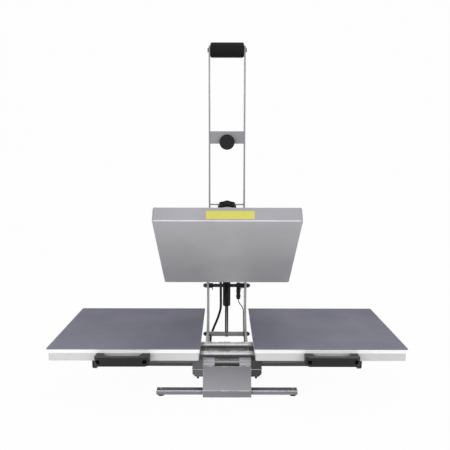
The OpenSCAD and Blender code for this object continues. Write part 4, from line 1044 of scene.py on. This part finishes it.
# The mats are painted lighter towards the front and darker towards the back, as painted light and shade.
fade(
    pad_rubber, "Y", pad_low.y, pad_high.y,
    faded_coat(shade(PAD_GREY, 1.18), shade(PAD_GREY, 0.94)),
)
for side in ("left", "right"):
    low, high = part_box(side + "_pad")
    mat_shape = bmesh.new()
    mat_shape.faces.layers.float.new("edge_wear_and_highlight")
    bmesh.ops.create_cube(
        mat_shape,
        size=1,
        matrix=Matrix.Translation((low + high) / 2) @ Matrix.Diagonal((*(high - low), 1)),
    )
    upright = [
        edge
        for edge in mat_shape.edges
        if abs(edge.verts[0].co.z - edge.verts[1].co.z) > (high.z - low.z) / 2
    ]
    round_off(mat_shape, upright, PAD_CORNER, 4)
    mat_shape = soften(mat_shape, PAD_EDGE, 3)
    mat = stand_for(side + "_pad", mat_shape, pad_rubber, name=side.title() + "_Pad_Mat")

# ------------ Pull handles
# Moulded black bow handles, one on the front of each tray, held by two socket
# screws that are sunk into its feet.

handle_plastic = coated(
    "Handle_Plastic", grey(0.01), grey(0.045), rough=(0.4, 0.52),
    wear=0.5, grain=1100.0, depth=0.2, shine=0.3,
)
dress("left_handle", 0.0022, handle_plastic, steps=3)
dress("right_handle", 0.0022, handle_plastic, steps=3)
HANDLE_SCREW = {"x": 0.0595, "ahead": 0.008, "z": 0.1315, "head": 0.0048}
BRACKET_SCREW = {"x": 0.343, "below": 0.003, "head": 0.005}
tray_low, tray_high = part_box("right_tray")
handle_x = (tray_low.x + tray_high.x) / 2
handle_screw_y = tray_low.y - HANDLE_SCREW["ahead"]
bracket_screw_z = tray_low.z - BRACKET_SCREW["below"]
fasteners(
    "Carriage_Screw_Set",
    socket_mesh,
    [
        (
            (side * handle_x + end * HANDLE_SCREW["x"], handle_screw_y, HANDLE_SCREW["z"]),
            (0, -1, 0),
            HANDLE_SCREW["head"],
        )
        for side in (-1, 1)
        for end in (-1, 1)
    ]
    + [
        ((side * BRACKET_SCREW["x"], y, bracket_screw_z), (0, 0, -1), BRACKET_SCREW["head"])
        for side in (-1, 1)
        for y in BEAM_YS
    ],
    zinc_plate,
    "carriage",
    "carriage_screws",
)

# ------------ Heated head
# A pressed steel cover over a thick aluminium platen with a grey non-stick
# coat. The tubular element and the insulation board lie between them.

cover_coat = coated(
    "Cover_Silver_Paint", cool(0.375), cool(0.6), rough=(0.32, 0.46), wear=0.35, metal=0.3
)
platen_coat = coated(
    "Nonstick_Grey_Coat", grey(0.6), grey(0.95), rough=(0.38, 0.5), wear=0.9, grain=900.0, metal=0.1
)
element_steel = bare_metal("Element_Steel", (0.35, 0.33, 0.32, 1), rough=(0.35, 0.55))
fibre_board = coated(
    "Ceramic_Fibre_Board", (0.78, 0.76, 0.7, 1), (0.85, 0.83, 0.78, 1), rough=(0.8, 0.95), depth=0.5
)
# A near-white painted highlight for the lower edges of the cover and the platen.
highlight_rim = coated(
    "Painted_Highlight_Rim", cool(0.95), cool(0.95), rough=(0.26, 0.36), wear=0.0, grain=900.0, depth=0.05
)
dress("heater_element", 0.0002, element_steel)
dress("insulation_board", 0.0005, fibre_board)

HEAD_LEAN = math.radians(-36.3)
HINGE = Vector((0, 0.318 - FRAME_BEHIND_PADS, 0.296))


def from_pads(point):
    """A point in millimetres from the pads' middle, moved into the frame."""
    return Vector((point[0] / 1000, point[1] / 1000 - FRAME_BEHIND_PADS, point[2] / 1000))


def on_head(point):
    """A place on the closed head, in millimetres from the pads' middle, turned to rest."""
    return HINGE + Matrix.Rotation(HEAD_LEAN, 3, "X") @ (from_pads(point) - HINGE)


def off_head(point):
    """Where a place on the resting head lies once the head is closed, in metres."""
    return HINGE + Matrix.Rotation(-HEAD_LEAN, 3, "X") @ (point - HINGE)


# The cover's lower edge gets a near-white painted highlight all round
COVER_RIM = 0.001
cover_shape = soften(solid_of("head_cover"), 0.0007, 3)
cover_floor = min(off_head(vert.co).z for vert in cover_shape.verts)
paint_highlight(cover_shape, lambda place, way: off_head(place).z < cover_floor + COVER_RIM)
stand_for("head_cover", cover_shape, cover_coat, highlight_rim)

# The platen's outer edge is turned to a generous round, and the part of the round that does not face steeply
# down gets a near-white painted highlight
PLATEN_ROUND = 0.006
platen_shape = solid_of("heating_platen")
platen_places = {vert: off_head(vert.co) for vert in platen_shape.verts}
platen_low = min(place.z for place in platen_places.values())
platen_reach = max(abs(place.x) for place in platen_places.values())
platen_front = min(place.y for place in platen_places.values())
platen_back = max(place.y for place in platen_places.values())


def all_at(edge, measure, wanted):
    """Whether both ends of a platen edge measure the same as wanted."""
    return all(abs(measure(platen_places[vert]) - wanted) < 1e-5 for vert in edge.verts)


platen_rim = [
    edge
    for edge in platen_shape.edges
    if all_at(edge, lambda place: place.z, platen_low)
    and (
        all_at(edge, lambda place: abs(place.x), platen_reach)
        or all_at(edge, lambda place: place.y, platen_front)
        or all_at(edge, lambda place: place.y, platen_back)
    )
]
platen_made = round_off(platen_shape, platen_rim, PLATEN_ROUND, 5, offset_type="OFFSET")
for face in platen_made["faces"]:
    face[platen_shape.faces.layers.float["edge_wear_and_highlight"]] = 1.0
paint_highlight(platen_shape, lambda place, way: (off_head(place + way) - off_head(place)).z > -0.8)
stand_for("heating_platen", platen_shape, platen_coat, highlight_rim)

COVER_SCREW = {"reach": 188, "z": 196.5, "head": 0.0045}
head_up = Matrix.Rotation(HEAD_LEAN, 3, "X") @ Vector((0, 0, 1))
fasteners(
    "Cover_Screw_Set",
    socket_mesh,
    [
        (on_head((x, y, COVER_SCREW["z"])), head_up, COVER_SCREW["head"])
        for x in (-COVER_SCREW["reach"], COVER_SCREW["reach"])
        for y in (-COVER_SCREW["reach"], COVER_SCREW["reach"])
    ],
    zinc_plate,
    "head",
    "cover_screws",
)

# ------------ Front strip
# A plain yellow strip of film on the front edge of the cover. Its corners are
# rounded, as those of a stamped label.

strip_film = coated(
    "Yellow_Film",
    (0.66, 0.62, 0.105, 1), (0.74, 0.7, 0.2, 1), rough=(0.3, 0.4), wear=0.4, depth=0.04,
)
STRIP = {"middle": 7.5, "half": 63.0, "low": 162.0, "high": 186.0, "thick": 0.35, "corner": 2.0}
COVER_FRONT = -195.0
strip_shape = bmesh.new()
strip_shape.faces.layers.float.new("edge_wear_and_highlight")
strip_points = [
    strip_shape.verts.new(on_head((STRIP["middle"] + side * STRIP["half"], y, STRIP[end])))
    for y in (COVER_FRONT - STRIP["thick"], COVER_FRONT)
    for side, end in ((-1, "low"), (1, "low"), (1, "high"), (-1, "high"))
]
for loop in ((0, 1, 2, 3), (7, 6, 5, 4), (0, 4, 5, 1), (1, 5, 6, 2), (2, 6, 7, 3), (3, 7, 4, 0)):
    strip_shape.faces.new([strip_points[k] for k in loop])
bmesh.ops.recalc_face_normals(strip_shape, faces=strip_shape.faces)
through = [
    edge
    for edge in strip_shape.edges
    if abs((edge.verts[0].co - edge.verts[1].co).length - STRIP["thick"] / 1000) < 1e-5
]
round_off(strip_shape, through, STRIP["corner"] / 1000, 4)
piece_from(strip_shape, "Plain_Yellow_Strip", [strip_film], "head", "light_paint")

# ------------ Yoke and magnet
# Two steel arms joined by the hinge tube and a threaded block. A thick plate
# spreads the push over the cover and carries the electromagnet.

yoke_coat = coated(
    "Yoke_Dark_Paint", grey(0.07), grey(0.25), rough=(0.32, 0.48), wear=0.5, metal=0.2
)
magnet_case = bare_metal(
    "Magnet_Steel", (0.3, 0.3, 0.31, 1), rough=(0.25, 0.4), draw=(500.0, 500.0, 60.0)
)
dress("head_yoke", 0.0007, yoke_coat)
dress("pressure_plate", 0.0008, box_coat)
dress("electromagnet", 0.0006, magnet_case)
dress("head_gland", 0.0004, moulded_black)

# ------------ Pressure screw
# A zinc plated screw with a moulded star knob. Turning it sets how hard the
# head presses.

dress("pressure_screw", 0.0006, zinc_plate)
knob_plastic = coated(
    "Knob_Plastic", grey(0.005), grey(0.03), rough=(0.45, 0.58),
    wear=0.4, grain=1000.0, depth=0.2, shine=0.2,
)
dress("pressure_knob", 0.0016, knob_plastic, steps=3)

# ------------ Control box
# A moulded dark box on the right of the head, with a display behind a smoked
# window and three grey keys.

box_plastic = coated(
    "Control_Box_Plastic", grey(0.035), grey(0.09), rough=(0.42, 0.55),
    wear=0.3, grain=1000.0, depth=0.25, shine=0.35,
)
smoked_window = coated(
    "Smoked_Window", (0.02, 0.035, 0.045, 1), grey(0.1), rough=(0.06, 0.12), wear=0.2, depth=0.01
)
key_plastic = coated(
    "Key_Grey_Plastic", grey(0.42), grey(0.5), rough=(0.38, 0.5), wear=0.3, grain=1000.0
)
dress("control_box", 0.0018, box_plastic, steps=3)
dress("control_display", 0.0003, smoked_window)
for key in ("set_button", "up_button", "down_button"):
    dress(key, 0.0008, key_plastic)

# ------------ Lever
# Two flat steel bars with a channel across them and a steel disc that lands
# on the magnet. A thin rod keeps them apart lower down.

bar_coat = coated(
    "Lever_Silver_Coat", cool(0.3), cool(0.5), rough=(0.3, 0.42), wear=0.6, metal=0.35
)
channel_coat = coated(
    "Channel_Grey_Coat", cool(0.29), cool(0.45), rough=(0.36, 0.48), wear=0.5, metal=0.3
)
disc_black = coated(
    "Disc_Black_Coat", grey(0.007), grey(0.03), rough=(0.5, 0.62), wear=0.4, depth=0.1, shine=0.25
)
dress("lever_bars", 0.0006, bar_coat)
dress("lever_crossbar", 0.0006, channel_coat)
dress("armature_disc", 0.0016, disc_black, steps=3)
dress("lever_tie_rod", 0.0004, shaft_steel)
dress("pressure_shaft", 0.0006, shaft_steel)

# ------------ Hand grip
# A thick black foam rubber grip pushed over a tube, held between the bars by
# a domed bolt at each end.

foam_rubber = coated(
    "Foam_Rubber_Grip", grey(0.008), grey(0.025), rough=(0.65, 0.85),
    wear=0.3, grain=1500.0, depth=0.5, shine=0.2,
)
dress("hand_grip", 0.0004, foam_rubber)
dress("grip_bolts", 0.0009, blackened_steel)

# ------------ Gas spring
# A black lacquered body slides on a dark nitrided rod. The rod's eye turns on
# the lower tie shaft and the body's pin runs in the yoke.

gas_lacquer = coated(
    "Gas_Spring_Lacquer", grey(0.006), grey(0.05), rough=(0.22, 0.34),
    wear=0.3, depth=0.05, shine=0.3,
)
rod_nitride = bare_metal(
    "Nitrided_Rod", (0.2, 0.2, 0.21, 1), rough=(0.14, 0.24), draw=(30.0, 30.0, 900.0)
)
dress("gas_cylinder", 0.0012, gas_lacquer)
dress("gas_rod", 0.0008, rod_nitride)

# ------------ Leads
# A thick rubber lead feeds the heater from the power box. It is held by a
# gland at both ends and follows the head. A thin lead runs from the switch.


def smooth_route(route, parts=3):
    """A rounder line through the same points, with more of them."""
    line = []
    last = len(route) - 1
    for k in range(last):
        a, b, c, d = route[max(k - 1, 0)], route[k], route[k + 1], route[min(k + 2, last)]
        for j in range(parts):
            t = j / parts
            arc = 2 * b + (c - a) * t + (2 * a - 5 * b + 4 * c - d) * t * t
            line.append(0.5 * (arc + (3 * b - a - 3 * c + d) * t * t * t))
    line.append(route[last])
    return line


def swept(line, radii, sides):
    """A round form swept along a line with one radius for each of its points."""
    shape = bmesh.new()
    rings = []
    across = None
    for k, place in enumerate(line):
        ahead = (line[min(k + 1, len(line) - 1)] - line[max(k - 1, 0)]).normalized()
        if across is None:
            across = ahead.cross(Vector((1, 0, 0))).normalized()
        across = (across - ahead * across.dot(ahead)).normalized()
        up = ahead.cross(across)
        turns = [2 * math.pi * j / sides for j in range(sides)]
        rings.append(
            [
                shape.verts.new(
                    place + radii[k] * math.cos(turn) * across + radii[k] * math.sin(turn) * up
                )
                for turn in turns
            ]
        )
    for low, high in zip(rings, rings[1:]):
        for j in range(sides):
            i = (j + 1) % sides
            shape.faces.new((low[j], low[i], high[i], high[j]))
    shape.faces.new(list(reversed(rings[0])))
    shape.faces.new(rings[-1])
    bmesh.ops.recalc_face_normals(shape, faces=shape.faces)
    return shape


def lead_on(name, line, diameter, sides, body, node):
    """A round lead along a line, closed at both ends."""
    shape = swept(line, [diameter / 2] * len(line), sides)
    made = piece_from(shape, name, [lead_rubber], body, "lead_cover", node, smooth_below=60)
    return made


def strain_relief(name, line, length, wide, narrow, body):
    """A tapered and ribbed rubber boot on the first part of a lead."""
    steps = 48
    rib_depth = 0.0007
    places, radii = [], []
    for k in range(steps + 1):
        left = length * k / steps
        at = 0
        while left > (line[at + 1] - line[at]).length:
            left -= (line[at + 1] - line[at]).length
            at += 1
        places.append(line[at] + (line[at + 1] - line[at]).normalized() * left)
        taper = wide + (narrow - wide) * k / steps
        ribbed = 4 <= k <= steps - 4 and k % 6 in (0, 1, 2)
        radii.append(taper - rib_depth if ribbed else taper)
    shape = swept(places, radii, 24)
    piece_from(shape, name, [boot_rubber], body, slot_of["base_gland"], smooth_below=30)


lead_rubber = coated(
    "Lead_Rubber_Cover", grey(0.008), grey(0.04), rough=(0.5, 0.62),
    wear=0.0, grain=800.0, depth=0.2, shine=0.25,
)
boot_rubber = coated(
    "Boot_Rubber", grey(0.007), grey(0.03), rough=(0.5, 0.65),
    wear=0.0, grain=700.0, depth=0.2, shine=0.25,
)

# The thick lead's route, in millimetres from the pads' middle
HEAD_ROUTE = [
    (-19.5, 185.1, 246.6), (-19.5, 203.4, 229.8), (-19.5, 220.2, 212.1), (-19.5, 235.9, 193.7),
    (-19.5, 250.4, 174.6), (-19.5, 264, 155.1), (-20.5, 276.9, 135.4), (-24.5, 289.1, 115.5),
    (-30, 300.8, 95.6), (-36.5, 312.2, 76), (-40.5, 316.2, 65.5), (-45, 316.8, 54.2),
    (-49.5, 313.9, 43.4), (-53, 307.8, 33.9), (-55, 299, 26.8), (-55, 289.7, 23.1),
    (-55, 281, 22), (-55, 264, 22), (-54.5, 248, 22), (-54, 240, 22), (-51.5, 225.6, 23.9),
    (-48.5, 211.2, 28.5), (-45.5, 196.8, 34), (-43, 182.4, 38.6), (-42, 168, 40.5),
    (-42, 156, 40.5),
]
HEAD_GLAND_MOUTH = (-19.5, 215, 178.5)
FIXED_TO_BASE = 45
FIXED_TO_HEAD = 3
head_line = smooth_route([on_head(HEAD_GLAND_MOUTH)] + [from_pads(point) for point in HEAD_ROUTE])
head_lead = lead_on("Head_Lead_Cable", head_line, 0.008, 16, None, "head_lead")
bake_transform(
    head_lead, "base", "head", start=head_line[FIXED_TO_BASE], end=head_line[FIXED_TO_HEAD]
)
strain_relief("Head_End_Boot", head_line, 0.024, 0.0072, 0.0050, "head")
strain_relief("Base_End_Boot", head_line[::-1], 0.030, 0.0074, 0.0050, "base")

# The thin lead's route, from the switch down the side plate to the power box
SWITCH_ROUTE = [
    (40, 287, 166), (40.5, 287, 160), (43, 288, 152), (48, 290, 145), (53, 292, 137),
    (56.5, 293, 128), (57.5, 293, 119), (57.5, 292, 110), (57.5, 290, 101), (57.5, 286, 91),
    (57.5, 280, 82.5), (57.5, 272, 75), (57.5, 262, 68.5), (57.5, 250, 63.5), (57.5, 237, 60),
    (57.5, 223, 58), (57.5, 208, 57.5), (57.5, 192, 57.5), (57.5, 177, 57.5),
    (56.5, 164, 57.5), (55, 153, 57.5), (54, 143, 57.5), (54, 136, 57.5),
]
switch_line = smooth_route([from_pads(point) for point in SWITCH_ROUTE])
lead_on("Switch_Lead_Cable", switch_line, 0.003, 10, "base", "switch_lead")
